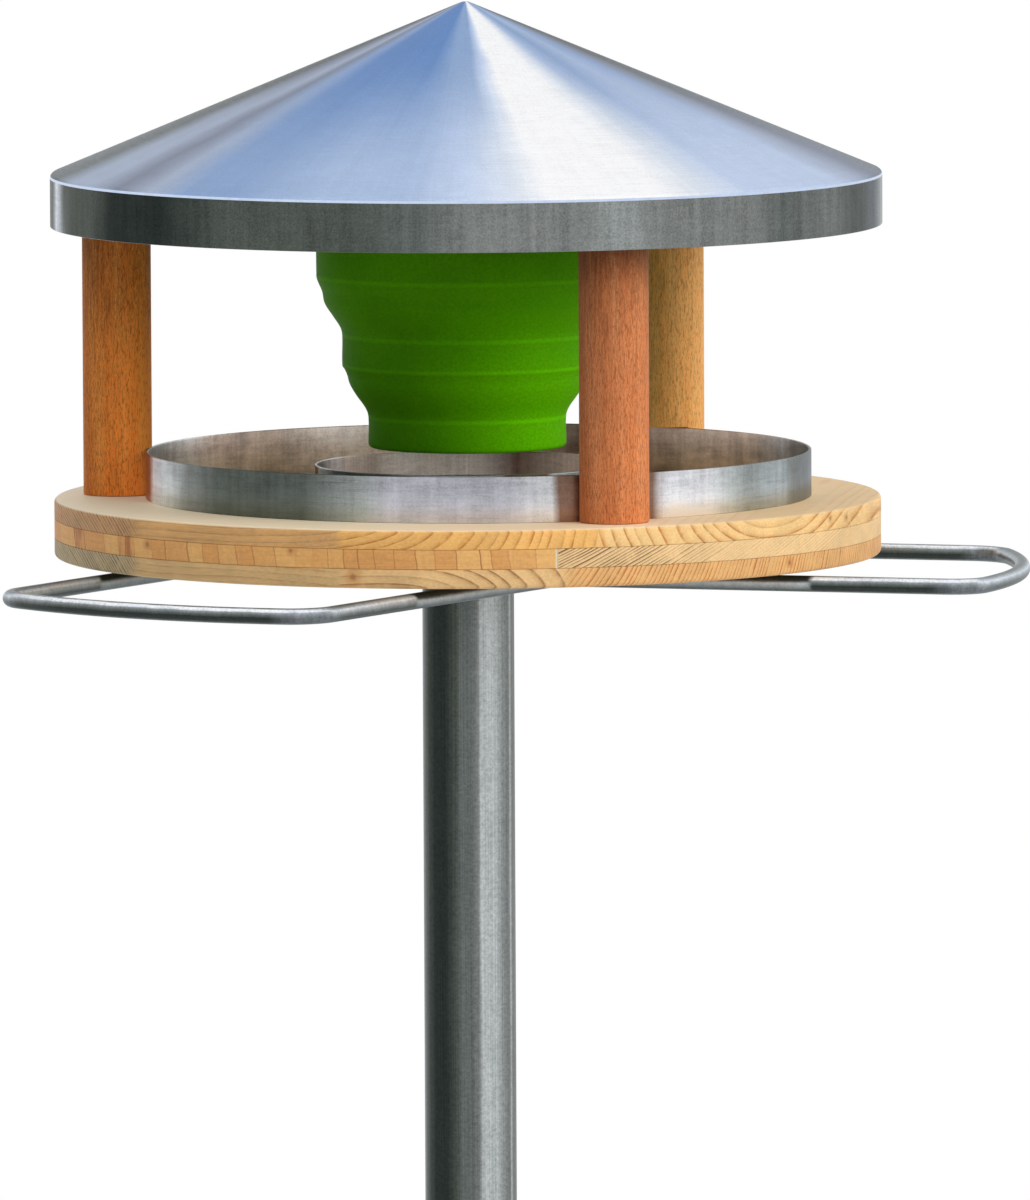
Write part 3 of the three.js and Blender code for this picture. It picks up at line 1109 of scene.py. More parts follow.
@dataclass(frozen=True)
class ButtedBlocks:
    """Short blocks of wood glued side by side, of uneven width and tone, with thin dark joints."""

    mean_width: float
    lean: float
    pale: Colour
    brown: Colour
    red: Colour

    def colour(self, graph: Graph, floor: float) -> Socket:
        """The wood's colour at each place.

        Args:
            graph: The material that it is drawn in.
            floor: The height that the lean is counted from.

        Returns:
            The colour.
        """
        x, _, z = graph.split(graph.place)
        rise = graph.minus(z, floor)
        bend = graph.noise(graph.scaled(graph.place, (0.3, 0.3, 1.0)), 120.0, 2.0)
        run = graph.times_plus(rise, self.lean, graph.times_plus(bend, 2 * MM, x))
        run = graph.math("DIVIDE", run, self.mean_width)
        feeds = {"W": run, "Scale": 1.0, "Randomness": 0.9}
        cells = graph.add("TexVoronoi", feeds, voronoi_dimensions="1D", feature="F1")
        edge = graph.add("TexVoronoi", feeds, voronoi_dimensions="1D", feature="DISTANCE_TO_EDGE")
        toning, reddening, joint_depth = graph.split(cells.outputs["Color"])
        upright = graph.noise(graph.scaled(graph.place, (1.0, 1.0, 0.08)), 330.0, 3.0, 0.6)
        level_lines = graph.noise(graph.scaled(graph.place, (0.05, 0.05, 1.0)), 1100.0, 3.0, 0.6)
        specks = graph.noise(graph.place, 700.0, 3.0, 0.65)
        wood = graph.mix(graph.between(graph.plus(toning, upright), 0.6, 1.5), self.brown, self.pale)
        red_share = graph.times(graph.between(reddening, 0.8, 0.96), graph.between(upright, 0.44, 0.6))
        wood = graph.mix(graph.times(red_share, 0.7), wood, self.red)
        joint = graph.between(edge.outputs["Distance"], 0.015, 0.06, 1.0, 0.0)
        joint = graph.times(joint, graph.between(joint_depth, 0.2, 1.0, 0.0, 0.75))
        wood = graph.mix(joint, wood, self.red)
        level = graph.total(graph.swing(level_lines, 0.06), graph.swing(specks, 0.07), 1.0)
        return graph.lightened(wood, level)


@dataclass(frozen=True)
class PlyFinish:
    """One ply of the board: lengths of wood that are glued side by side, with a few small knots, and painted
    light on the top ply's top face.
    """

    name: str
    radius: float
    floor: float
    lengths: tuple[Log | ButtedBlocks, ...]
    joints: tuple[float, ...]
    joint_blend: float
    knots: tuple[Knot, ...]
    top_height: float | None
    # Painted light on the top face: its tones from left to right, paler than the wood because light falls from
    # above.
    top_light: tuple[tuple[float, tuple[int, int, int]], ...] = (
        (0.0, (255, 244, 216)), (0.3, (255, 242, 212)), (0.5, (255, 236, 206)), (0.85, (250, 226, 192)),
        (1.0, (228, 196, 150)),
    )

    def material(self) -> Material:
        """The finish as a material."""
        graph = Graph.of_material(self.name)
        x, _, z = graph.split(graph.place)
        wood = self.lengths[0].colour(graph, self.floor)
        for degrees, length in zip(self.joints, self.lengths[1:]):
            joint = self.radius * math.sin(math.radians(degrees))
            beyond = graph.between(x, joint - self.joint_blend, joint + self.joint_blend)
            wood = graph.mix(beyond, wood, length.colour(graph, self.floor))
        for knot in self.knots:
            wood = knot.over(graph, wood, self.radius, self.floor)
        fibres = graph.noise(graph.place, 420.0, 3.0, 0.6)
        if self.top_height is not None:
            # Painted light: the top face is mixed towards the paler tones.
            on_top = graph.between(z, self.top_height - 0.9 * MM, self.top_height - 0.05 * MM)
            across = graph.between(x, -self.radius, self.radius)
            top_light = graph.ramp(across, [(place, linear(*tone)) for place, tone in self.top_light])
            wood = graph.mix(graph.times(on_top, 0.75), wood, top_light)
        return graph.finish(
            Base_Color=wood,
            Roughness=graph.times_plus(fibres, 0.16, 0.52),
            Normal=graph.bump(fibres, 0.16, 0.0003),
        )


@dataclass(frozen=True)
class BeechFinish:
    """Steamed beech with short dark pores along its grain, and painted shade along its height and across its
    sides.
    """

    name: str
    heart: Colour
    light: Colour
    pore: Colour
    shades: Shares
    side_shade: float
    centre: Vector
    foot_height: float
    head_height: float
    radius: float = 15 * MM

    def material(self) -> Material:
        """The finish as a material."""
        graph = Graph.of_material(self.name)
        shift = graph.moved(self.centre)
        across = graph.split(shift)[0]
        z = graph.split(graph.place)[2]
        bands = graph.noise(graph.scaled(shift, (1.0, 1.0, 0.05)), 130.0, 3.0, 0.6)
        ripples = graph.noise(graph.scaled(shift, (1.0, 1.0, 0.06)), 1000.0, 3.0, 0.65)
        pores = graph.noise(graph.scaled(shift, (1.0, 1.0, 0.14)), 3000.0, 1.0, 0.5)
        cracks = graph.noise(graph.scaled(shift, (1.0, 1.0, 0.08)), 1300.0, 2.0, 0.6)
        specks = graph.noise(shift, 1200.0, 2.0, 0.7)
        wood = graph.mix(graph.between(bands, 0.25, 0.75), self.heart, self.light)
        # Painted shade: darker towards the head under the roof, and darker towards the -X side.
        share = graph.between(z, self.foot_height, self.head_height)
        shade = graph.ramp(share, [(height, grey(level)) for height, level in self.shades])
        side = graph.between(across, -self.radius, self.radius, 1 - self.side_shade, 1 + self.side_shade)
        level = graph.total(graph.swing(ripples, 0.12), graph.swing(specks, 0.08), graph.times(shade, side))
        wood = graph.lightened(wood, level)
        dark = graph.math("MAXIMUM", graph.between(pores, 0.53, 0.64), graph.between(cracks, 0.6, 0.68))
        wood = graph.mix(graph.times(dark, 0.5), wood, self.pore)
        return graph.finish(
            Base_Color=wood,
            Roughness=graph.times_plus(ripples, 0.2, 0.5),
            Specular_IOR_Level=0.14,
            Normal=graph.bump(graph.minus(ripples, dark), 0.25, 0.0003),
        )


@dataclass(frozen=True)
class SiliconeFinish:
    """Matt green silicone, a little uneven and dusty, with painted light on its lower right side and a painted
    highlight along each fold.
    """

    name: str
    floor: float
    top: float
    folds: tuple[float, ...]

    def material(self) -> Material:
        """The finish as a material."""
        graph = Graph.of_material(self.name)
        x, _, z = graph.split(graph.place)
        clouds = graph.noise(graph.place, 16.0, 3.0, 0.5)
        specks = graph.noise(graph.place, 1000.0, 2.0, 0.7)
        green = graph.mix(graph.between(clouds, 0.35, 0.65), linear(66, 134, 0), linear(78, 150, 0))
        height = self.top - self.floor
        lower = graph.between(z, self.top + 0.3 * height, self.floor + 0.2 * height)
        # Painted light on the lower right side.
        sunlit = graph.times(graph.between(x, -25 * MM, 37 * MM), lower)
        green = graph.mix(sunlit, green, linear(112, 218, 0))
        level = graph.plus(graph.swing(specks, 0.12), 1.0)
        # A painted highlight along each fold.
        for fold in self.folds:
            off = graph.math("ABSOLUTE", graph.minus(z, fold))
            level = graph.plus(level, graph.between(off, 0.3 * MM, 1.4 * MM, 0.24, 0.0))
        green = graph.lightened(green, level)
        return graph.finish(
            Base_Color=green,
            Roughness=graph.times_plus(specks, 0.2, 0.5),
            Specular_IOR_Level=0.04,
            Normal=graph.bump(specks, 0.08, 0.0002),
            Subsurface_Weight=0.12,
            Subsurface_Radius=(0.6, 1.0, 0.2),
            Subsurface_Scale=2.5 * MM,
        )


def dress(piece: Object, *materials: Material) -> Object:
    """Gives a piece its materials, in place of those that it has."""
    piece.data.materials.clear()
    for material in materials:
        piece.data.materials.append(material)
    return piece


def paint_faces(piece: Object, index: int, test: Callable[[Vector, Vector], bool]) -> None:
    """Gives some faces of a piece another of its materials.

    Args:
        piece: The piece.
        index: Number of the material.
        test: Whether a face takes it, by its middle and its normal.
    """
    for face in piece.data.polygons:
        if test(face.center, face.normal):
            face.material_index = index


def fasten(piece: Object, body: Body, slot: Slot, *nodes: str) -> Object:
    """Makes a piece part of the model.

    Args:
        piece: The piece, finished and in its place.
        body: The body that it moves with.
        slot: The slot for its finish; not used.
        nodes: The nodes that it stands for.

    Returns:
        The piece.
    """
    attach(piece, body.value)
    if nodes:
        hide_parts(*nodes)
    LOG.info("%s: %d faces, on %s", piece.name, len(piece.data.polygons), body.value)
    return piece


def keep_node(node: str, material: Material) -> None:
    """Keeps a node of the model as it is, and gives it a finish.

    Args:
        node: Its name.
        material: Its material.
    """
    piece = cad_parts[node]
    dress(piece, material)
    LOG.info("%s: kept", node)


@dataclass(frozen=True)
class ScrewKind:
    """Sizes of a screw. Its seat is at height 0 and its tip points down."""

    name: str
    radius: float
    length: float
    head_radius: float
    head_height: float
    socket_radius: float
    socket_depth: float
    countersunk: bool = True
    pitch: float = 1.6 * MM

    def outline(self) -> Outline:
        """The outline of the screw without its thread and socket."""
        core = self.radius * 0.78
        tip = [Corner(0.0, -self.length), Corner(core, -self.length + 2 * self.radius, 0.6 * MM)]
        if self.countersunk:
            head = [
                Corner(self.radius, -self.head_height, 0.4 * MM),
                Corner(self.head_radius, -0.3 * MM, 0.2 * MM),
                Corner(self.head_radius, 0.0, 0.1 * MM),
                Corner(0.0, 0.0),
            ]
            return rounded([*tip, Corner(core, -self.head_height - 2 * MM), *head])
        head = [
            Corner(core, 0.0),
            Corner(self.head_radius, 0.0, 0.15 * MM),
            Corner(self.head_radius, self.head_height * 0.45, 1.2 * MM),
            Corner(self.head_radius * 0.62, self.head_height, 0.9 * MM),
            Corner(0.0, self.head_height),
        ]
        return rounded([Corner(0.0, -self.length), Corner(core, -self.length, 0.3 * MM), *head])

    def prototype(self) -> Object:
        """One screw at the origin, with its six-sided socket."""
        screw = lathe(self.name, self.outline(), 40)
        face_height = 0.0 if self.countersunk else self.head_height
        socket = rod_cutter(
            self.socket_radius,
            Vector((0.0, 0.0, face_height - self.socket_depth)),
            Vector((0.0, 0.0, face_height + MM)),
            sides=6,
        )
        return cut(screw, [socket])


class ScrewShop:
    """Makes sets of screws with one Geometry Nodes tree."""

    def __init__(self) -> None:
        """Builds the tree and the finish that all screws share."""
        self.tree = screw_set_tree()
        self.material = PlainMetalFinish("zinc_plate", Tone.SILVER).material()

    def drive(
        self, name: str, kind: ScrewKind, seats: Sequence[Vector], turn: Euler, nodes: Sequence[str]
    ) -> None:
        """Puts a screw on each seat.

        Args:
            name: Name of the set.
            kind: The kind of screw.
            seats: Where the screws' seats are.
            turn: How the screws are turned.
            nodes: The nodes that they stand for.
        """
        screw = kind.prototype()
        thread_top = kind.head_height + MM if kind.countersunk else MM
        thread_length = kind.length - thread_top - kind.radius
        values = {
            "Screw": screw,
            "Turn": tuple(turn),
            "Thread Radius": kind.radius * 0.8,
            "Thread Length": thread_length,
            "Thread Turns": thread_length / kind.pitch,
            "Thread Depth": kind.radius * 0.19,
            "Thread Floor": (0.0, 0.0, -thread_top - thread_length),
            "Material": self.material,
        }
        piece = self.tree.run(name, point_mesh(seats), values)
        bpy.data.meshes.remove(screw.data)
        fasten(piece, Body.STAND, Slot.FASTENERS, *nodes)


POST_SCREW = ScrewKind(
    "post_screw", 2.5 * MM, 8 * MM, 4.75 * MM, 2.75 * MM, 1.6 * MM, 1.8 * MM, countersunk=False
)
PLATE_SCREW = ScrewKind("plate_screw", 2 * MM, 18 * MM, 4 * MM, 2.2 * MM, 1.4 * MM, 1.4 * MM)
FOOT_SCREW = ScrewKind("foot_screw", 2.5 * MM, 60 * MM, 5 * MM, 2.8 * MM, 1.7 * MM, 1.8 * MM)
TOP_SCREW = ScrewKind("top_screw", 2.2 * MM, 40 * MM, 4.2 * MM, 2.4 * MM, 1.5 * MM, 1.5 * MM)
UPSIDE_DOWN = Euler((math.pi, 0.0, 0.0))
COLUMN_NAMES = ("column_front", "column_back", "column_left")
FOOT_SCREW_NODES = [f"{name}_foot_screw" for name in COLUMN_NAMES]
TOP_SCREW_NODES = [f"{name}_top_screw" for name in COLUMN_NAMES]
PLATE_SCREW_NODES = [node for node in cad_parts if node.startswith("plate_screw_")]


def screw_seats(nodes: Sequence[str], upwards: bool) -> list[Vector]:
    """Where the screws of some nodes are seated.

    Args:
        nodes: Names of the screw nodes.
        upwards: Whether they are driven upwards, so that their heads are lowest.

    Returns:
        The middle of each screw's head face.
    """
    seats = []
    for node in nodes:
        seat = centre_of(node)
        seat.z = floor_of(node) if upwards else top_of(node)
        seats.append(seat)
    return seats


def hole_cutters(kind: ScrewKind, seats: Iterable[Vector], upwards: bool) -> list[Object]:
    """Cutters for the holes that screws need.

    Args:
        kind: The kind of screw.
        seats: Where the screws' heads are.
        upwards: Whether they are driven upwards.

    Returns:
        The cutters.
    """
    gap, clearance, sides = 0.3 * MM, 5 * MM, 32
    outline = [
        (0.0, -kind.length - gap),
        (kind.radius + gap, -kind.length - gap),
        (kind.radius + gap, -kind.head_height),
        (kind.head_radius + gap, 0.0),
        (kind.head_radius + gap, clearance),
        (0.0, clearance),
    ]
    cutters = []
    for seat in seats:
        cutter = lathe("hole", outline, sides)
        turn = Matrix.Rotation(math.pi, 4, "X") if upwards else Matrix.Identity(4)
        cutter.data.transform(Matrix.Translation(seat) @ turn)
        cutters.append(cutter)
    return cutters


@dataclass
class FootAndPost:
    """The foot plate and the two post sections, with the tubes inside and the post screws."""

    plate_sides: int = 192
    tube_sides: int = 128
    edge: float = 0.5 * MM
    inner_edge: float = 0.3 * MM
    hole_gap: float = 0.3 * MM
    wall: float = 2 * MM
    chamfer: float = 1.5 * MM
    screw_angle: float = 180.0
    screw_gap: float = 0.1 * MM
    # Painted reflections in streaks round the foot plate's turned face.
    foot_streaks: Streaks = (
        (-180, Tone.PEWTER), (-152, Tone.SILVER), (-128, Tone.GREY), (-100, Tone.PEWTER),
        (-74, Tone.SILVER), (-52, Tone.FROST), (-30, Tone.PEWTER), (-5, Tone.GREY), (24, Tone.SILVER),
        (45, Tone.FROST), (66, Tone.PEWTER), (98, Tone.GREY), (126, Tone.SILVER), (150, Tone.FROST),
        (180, Tone.PEWTER),
    )
    # Painted reflections in streaks round the post, as the photo shows them on its front half.
    post_streaks: Streaks = (
        (-180, Tone.PEWTER), (-158, Tone.SILVER), (-136, Tone.GREY), (-112, Tone.SLATE), (-90, Tone.SILVER),
        (-72, Tone.SLATE), (-60, Tone.SHADE), (-48, Tone.NIGHT), (-30, Tone.NIGHT), (-23, Tone.SHADE),
        (-14, Tone.OLIVE), (-11, Tone.SLATE), (3, Tone.SLATE), (12, Tone.GREY), (15, Tone.SILVER),
        (35, Tone.SILVER), (45, Tone.PEWTER), (54, Tone.GREY), (60, Tone.GREY), (63, Tone.SILVER),
        (68, Tone.GREY), (80, Tone.GREY), (88, Tone.SLATE), (104, Tone.PEWTER), (128, Tone.SHADE),
        (150, Tone.SLATE), (164, Tone.SILVER), (180, Tone.PEWTER),
    )

    def build(self, shop: ScrewShop) -> None:
        """Builds and dresses the pieces.

        Args:
            shop: Where the screws are made.
        """
        self.build_foot()
        self.build_sections()
        dark = PlainMetalFinish("plug_steel", Tone.GREY).material()
        for node in ("foot_plug", "post_joiner", "head_plug"):
            keep_node(node, dark)
        nodes = ["post_screw_foot", "post_screw_joint_lower", "post_screw_joint_upper", "post_screw_head"]
        reach = radius_of("post_upper") + self.screw_gap
        seats = [around(reach, self.screw_angle, middle_of(node)) for node in nodes]
        outwards = Euler((math.pi / 2, 0.0, math.radians(self.screw_angle)), "XYZ")
        shop.drive("post_screws", POST_SCREW, seats, outwards, nodes)

    def build_foot(self) -> None:
        """Builds the foot plate."""
        radius = radius_of("foot_plate")
        top = top_of("foot_plate")
        outline = rounded(
            [
                Corner(0.0, 0.0),
                Corner(radius, 0.0, self.edge),
                Corner(radius, top - self.chamfer, self.edge),
                Corner(radius - self.chamfer, top, self.edge),
                Corner(0.0, top),
            ]
        )
        plate = lathe("foot_plate_turned", outline, self.plate_sides)
        dress(plate, SteelFinish("foot_steel", self.foot_streaks).material())
        fasten(plate, Body.STAND, Slot.FOOT_STEEL, "foot_plate")

    def build_sections(self) -> None:
        """Builds the two sections of the post."""
        steel = SteelFinish(
            "post_steel", self.post_streaks, waver=1.5, grain=0.14, line_depth=0.16, speckle=0.12
        ).material()
        screws = {
            "post_lower": ("post_screw_foot", "post_screw_joint_lower"),
            "post_upper": ("post_screw_joint_upper", "post_screw_head"),
        }
        for node, section_screws in screws.items():
            radius = radius_of(node)
            low, high = floor_of(node), top_of(node)
            corners = [
                Corner(radius - self.wall, low, self.inner_edge),
                Corner(radius, low, self.edge),
                Corner(radius, high, self.edge),
                Corner(radius - self.wall, high, self.inner_edge),
            ]
            section = lathe(f"{node}_tube", rounded(corners, closed=True), self.tube_sides)
            cutters = []
            for screw in section_screws:
                start = around(radius / 2, self.screw_angle, middle_of(screw))
                end = around(radius * 1.5, self.screw_angle, middle_of(screw))
                cutters.append(rod_cutter(POST_SCREW.radius + self.hole_gap, start, end))
            cut(section, cutters)
            dress(section, steel)
            fasten(section, Body.STAND, Slot.POST_STEEL, node)


@dataclass
class Perches:
    """The mounting plate under the board, the three perch loops and their welds."""

    angles: tuple[float, ...] = (90.0, 210.0, 330.0)
    rod_radius: float = 3.5 * MM
    droop: float = 1.0
    bend_radius: float = 18 * MM
    bend_steps: int = 14
    bar_steps: int = 12
    weld_radius: float = 1.4 * MM
    weld_pitch: float = 1.1 * MM
    weld_steps: int = 8
    plate_edge: float = 0.4 * MM
    plate_gap: float = 0.1 * MM
    plate_sides: int = 128
    rod_sides: int = 24

    def __post_init__(self) -> None:
        """Takes the loops' sizes from the one that points to +X."""
        low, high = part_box("perch_1")
        self.bar_height = low.z + self.rod_radius
        self.half_width = (high.y - low.y) / 2 - self.rod_radius
        self.bar_radius = high.x - self.rod_radius
        self.seat_radius = radius_of("mounting_plate") + self.plate_gap
        self.leg_end = math.sqrt(self.seat_radius**2 - self.half_width**2)
        self.bend_across = self.half_width - self.bend_radius
        self.bend_out = math.sqrt((self.bar_radius - self.bend_radius) ** 2 - self.bend_across**2)
        self.bar_angle = math.atan2(self.bend_across, self.bend_out)

    def height_at(self, out: float) -> float:
        """The height of a loop's line, which slopes down outwards, at a distance out."""
        return self.bar_height + (self.bar_radius - out) * math.tan(math.radians(self.droop))

    def half_path(self) -> list[tuple[float, float]]:
        """Half of a loop's line, from its weld to the middle of its outer bar.

        Returns:
            Points of distance across and distance out.
        """
        points = [(self.half_width, self.leg_end)]
        for i in range(self.bend_steps + 1):
            angle = (math.pi / 2 - self.bar_angle) * i / self.bend_steps
            across = self.bend_across + self.bend_radius * math.cos(angle)
            points.append((across, self.bend_out + self.bend_radius * math.sin(angle)))
        for i in range(1, self.bar_steps + 1):
            angle = self.bar_angle * (1 - i / self.bar_steps)
            points.append((self.bar_radius * math.sin(angle), self.bar_radius * math.cos(angle)))
        return points

    def bends(self) -> Shares:
        """Where the two bends lie on a loop's length."""
        leg = self.bend_out - self.leg_end
        bend = self.bend_radius * (math.pi / 2 - self.bar_angle)
        bar = 2 * self.bar_radius * self.bar_angle
        return (leg, leg + bend), (leg + bend + bar, leg + 2 * bend + bar)

    def build(self, shop: ScrewShop) -> None:
        """Builds and dresses the pieces.

        Args:
            shop: Where the screws are made.
        """
        half = self.half_path()
        whole = [*half, *[(-across, out) for across, out in reversed(half[:-1])]]
        board_radius = radius_of("board_core_ply")
        finish = RodFinish("perch_steel", self.rod_radius, self.bends(), board_radius)
        steel = finish.material()
        tree = swept_rod_tree()
        for number, degrees in enumerate(self.angles, start=1):
            turn = Matrix.Rotation(math.radians(degrees), 3, "Z")
            chain = [turn @ Vector((across, -out, self.height_at(out))) for across, out in whole]
            values = {"Radius": self.rod_radius, "Sides": self.rod_sides, "Material": steel}
            loop = tree.run(f"perch_loop_{number}", chain_mesh([chain]), values)
            self.seat_legs(loop, turn)
            fasten(loop, Body.STAND, Slot.PERCH_STEEL, f"perch_{number}")
        self.build_plate(shop)
        self.build_welds()

    def seat_legs(self, loop: Object, turn: Matrix) -> None:
        """Shapes the ends of a loop's legs to the edge of the mounting plate.

        Args:
            loop: The loop.
            turn: How it is turned about the axis.
        """
        back = turn.inverted()
        for vertex in loop.data.vertices:
            across, inward, height = back @ vertex.co
            if -inward < self.leg_end + MM:
                out = math.sqrt(self.seat_radius**2 - across**2)
                height += self.height_at(out) - self.height_at(self.leg_end)
                vertex.co = turn @ Vector((across, -out, height))

    def build_plate(self, shop: ScrewShop) -> None:
        """Builds the mounting plate and its screws.

        Args:
            shop: Where the screws are made.
        """
        radius = radius_of("mounting_plate")
        low, high = floor_of("mounting_plate"), top_of("mounting_plate")
        outline = puck_outline(radius, low, high, self.plate_edge, self.plate_edge)
        plate = lathe("mounting_plate_turned", outline, self.plate_sides)
        seats = screw_seats(PLATE_SCREW_NODES, upwards=True)
        cut(plate, hole_cutters(PLATE_SCREW, seats, upwards=True))
        # The mounting plate takes the foot plate's painted reflections.
        dress(plate, SteelFinish("plate_steel", FootAndPost().foot_streaks).material())
        fasten(plate, Body.STAND, Slot.PERCH_STEEL, "mounting_plate")
        shop.drive("plate_screws", PLATE_SCREW, seats, UPSIDE_DOWN, PLATE_SCREW_NODES)

    def build_welds(self) -> None:
        """Builds the welds along the plate's edge, where the legs end on it."""
        weld_height = floor_of("mounting_plate") - 0.3 * self.weld_radius
        weld_radius = self.seat_radius - 0.7 * self.weld_radius
        spread = self.rod_radius / self.leg_end
        leg_angle = math.atan2(self.half_width, self.leg_end)
        chains = []
        for degrees in self.angles:
            for side in (-1, 1):
                middle = math.radians(degrees) + side * leg_angle
                steps = [middle + spread * (2 * i / self.weld_steps - 1) for i in range(self.weld_steps + 1)]
                chains.append([around(weld_radius, math.degrees(step), weld_height) for step in steps])
        material = PlainMetalFinish("weld_steel", Tone.SLATE, roughness=0.4).material()
        values = {"Radius": self.weld_radius, "Pitch": self.weld_pitch, "Seed": 4, "Material": material}
        welds = weld_tree().run("perch_welds", chain_mesh(chains), values)
        fasten(welds, Body.STAND, Slot.PERCH_STEEL)


@dataclass
class Board:
    """The round board of three plies."""

    sides: int = 256
    edge: float = 1.6 * MM
    glue_edge: float = 0.25 * MM
    joint_angle: float = 18.0
    joint_width: float = 1.1 * MM
    joint_depth: float = 0.5 * MM
    joint_blend: float = 4 * MM

    def finishes(self, floor: float, top: float) -> dict[str, PlyFinish]:
        """The finish of each ply.

        Args:
            floor: Height of the board's underside.
            top: Height of its top.

        Returns:
            The finishes by node.
        """
        rise = top - floor
        golden, amber, hazel = linear(236, 182, 104), linear(188, 120, 50), linear(186, 142, 92)
        umber, straw, clay = linear(124, 88, 52), linear(186, 164, 122), linear(160, 112, 66)
        brown, ash, caramel = linear(96, 58, 28), linear(96, 84, 62), linear(176, 106, 50)
        rust, honey, cream = linear(148, 80, 38), linear(214, 164, 102), linear(238, 198, 134)
        looks = {
            "board_bottom_ply": (
                "bottom_ply_wood",
                (
                    Log(80, 212 * MM, -70 * MM, 1.4 * MM, straw, ash, 1.2 * MM, 1.3),
                    Log(-36, -176 * MM, -34 * MM, 3.4 * MM, linear(208, 172, 118), hazel, 3.0 * MM, 0.9),
                    Log(-22, -172 * MM, -8 * MM, 3.8 * MM, linear(226, 186, 128), clay, 1.8 * MM, 0.9),
                    Log(-45, -181 * MM, 85 * MM, 2.0 * MM, linear(226, 176, 112), caramel, 1.0 * MM, 1.1),
                ),
                (-47.0, -12.0, self.joint_angle + 1.5),
                self.joint_blend,
                (Knot(-10.0, 5 * MM, 2.8 * MM), Knot(56.0, 5 * MM, 2 * MM)),
                None,
            ),
            "board_core_ply": (
                "core_ply_wood",
                (
                    ButtedBlocks(8.0 * MM, 0.1, linear(226, 174, 104), linear(214, 154, 88), rust),
                    Log(
                        -45, 475 * MM, -1012 * MM, 1.3 * MM, linear(236, 198, 142), brown, 0.9 * MM, 0.9,
                        patchiness=0.05, fade=(70 * MM, 130 * MM),
                    ),
                ),
                (self.joint_angle,),
                0.1 * MM,
                (Knot(-44.0, 14.5 * MM, 2.2 * MM), Knot(-19.0, 15.5 * MM, 1.8 * MM)),
                None,
            ),
            "board_top_ply": (
                "top_ply_wood",
                (
                    Log(80, 205 * MM, -50 * MM, 1.5 * MM, linear(196, 150, 100), umber, 1.0 * MM, 1.2),
                    Log(-38, -178 * MM, rise + 34 * MM, 2.8 * MM, honey, hazel, 2.4 * MM, 0.9),
                    Log(-26, -182 * MM, rise + 8 * MM, 3.2 * MM, golden, amber, 1.6 * MM, 0.75),
                    Log(88, -146 * MM, rise + 13 * MM, 4.6 * MM, cream, amber, 2.8 * MM, 0.75),
                ),
                (-47.0, -12.0, 24.0),
                self.joint_blend,
                (
                    Knot(66.0, 22 * MM, 1.4 * MM),
                    Knot(71.0, 21 * MM, 1.6 * MM),
                    Knot(-72.0, 20 * MM, 2.4 * MM),
                ),
                top,
            ),
        }
        return {
            node: PlyFinish(name, radius_of(node), floor, *rest) for node, (name, *rest) in looks.items()
        }

    def build(self) -> None:
        """Builds and dresses the pieces."""
        floor, top = floor_of("board_bottom_ply"), top_of("board_top_ply")
        radius = radius_of("board_core_ply")
        for node, finish in self.finishes(floor, top).items():
            low, high = floor_of(node), top_of(node)
            below = self.edge if node == "board_bottom_ply" else self.glue_edge
            above = self.edge if node == "board_top_ply" else self.glue_edge
            ply = lathe(f"{node}_wood", puck_outline(radius, low, high, below, above), self.sides)
            cutters = hole_cutters(PLATE_SCREW, screw_seats(PLATE_SCREW_NODES, True), upwards=True)
            cutters += hole_cutters(FOOT_SCREW, screw_seats(FOOT_SCREW_NODES, True), upwards=True)
            if node == "board_core_ply":
                size = Vector((self.joint_width, 2 * self.joint_depth, 2 * (high - low)))
                middle = around(radius, self.joint_angle, (low + high) / 2)
                cutters.append(box_shape("joint", size, middle, self.joint_angle))
            cut(ply, cutters)
            dress(ply, finish.material())
            if node == "board_core_ply":
                # The groove of the joint is painted pale.
                ply.data.materials.append(self.pale_joint_finish())
                paint_faces(ply, 1, lambda at, normal: self.in_joint(at, radius) and abs(normal.z) < 0.5)
            fasten(ply, Body.STAND, Slot.BOARD_WOOD, node)

    def in_joint(self, place: Vector, radius: float) -> bool:
        """Whether a place is inside the groove of the core ply's joint.

        Args:
            place: The place.
            radius: The board's radius.
        """
        local = Matrix.Rotation(-math.radians(self.joint_angle), 3, "Z") @ place
        depth = radius + local.y
        return abs(local.x) < 0.6 * self.joint_width and 0.1 * MM < depth < 1.2 * self.joint_depth

    @staticmethod
    def pale_joint_finish() -> Material:
        """Pale colour in the groove of the core ply's joint."""
        graph = Graph.of_material("joint_filler")
        grains = graph.noise(graph.place, 900.0, 2.0, 0.6)
        return graph.finish(
            Base_Color=graph.mix(grains, linear(224, 206, 178), linear(244, 232, 212)),
            Roughness=graph.times_plus(grains, 0.2, 0.6),
        )


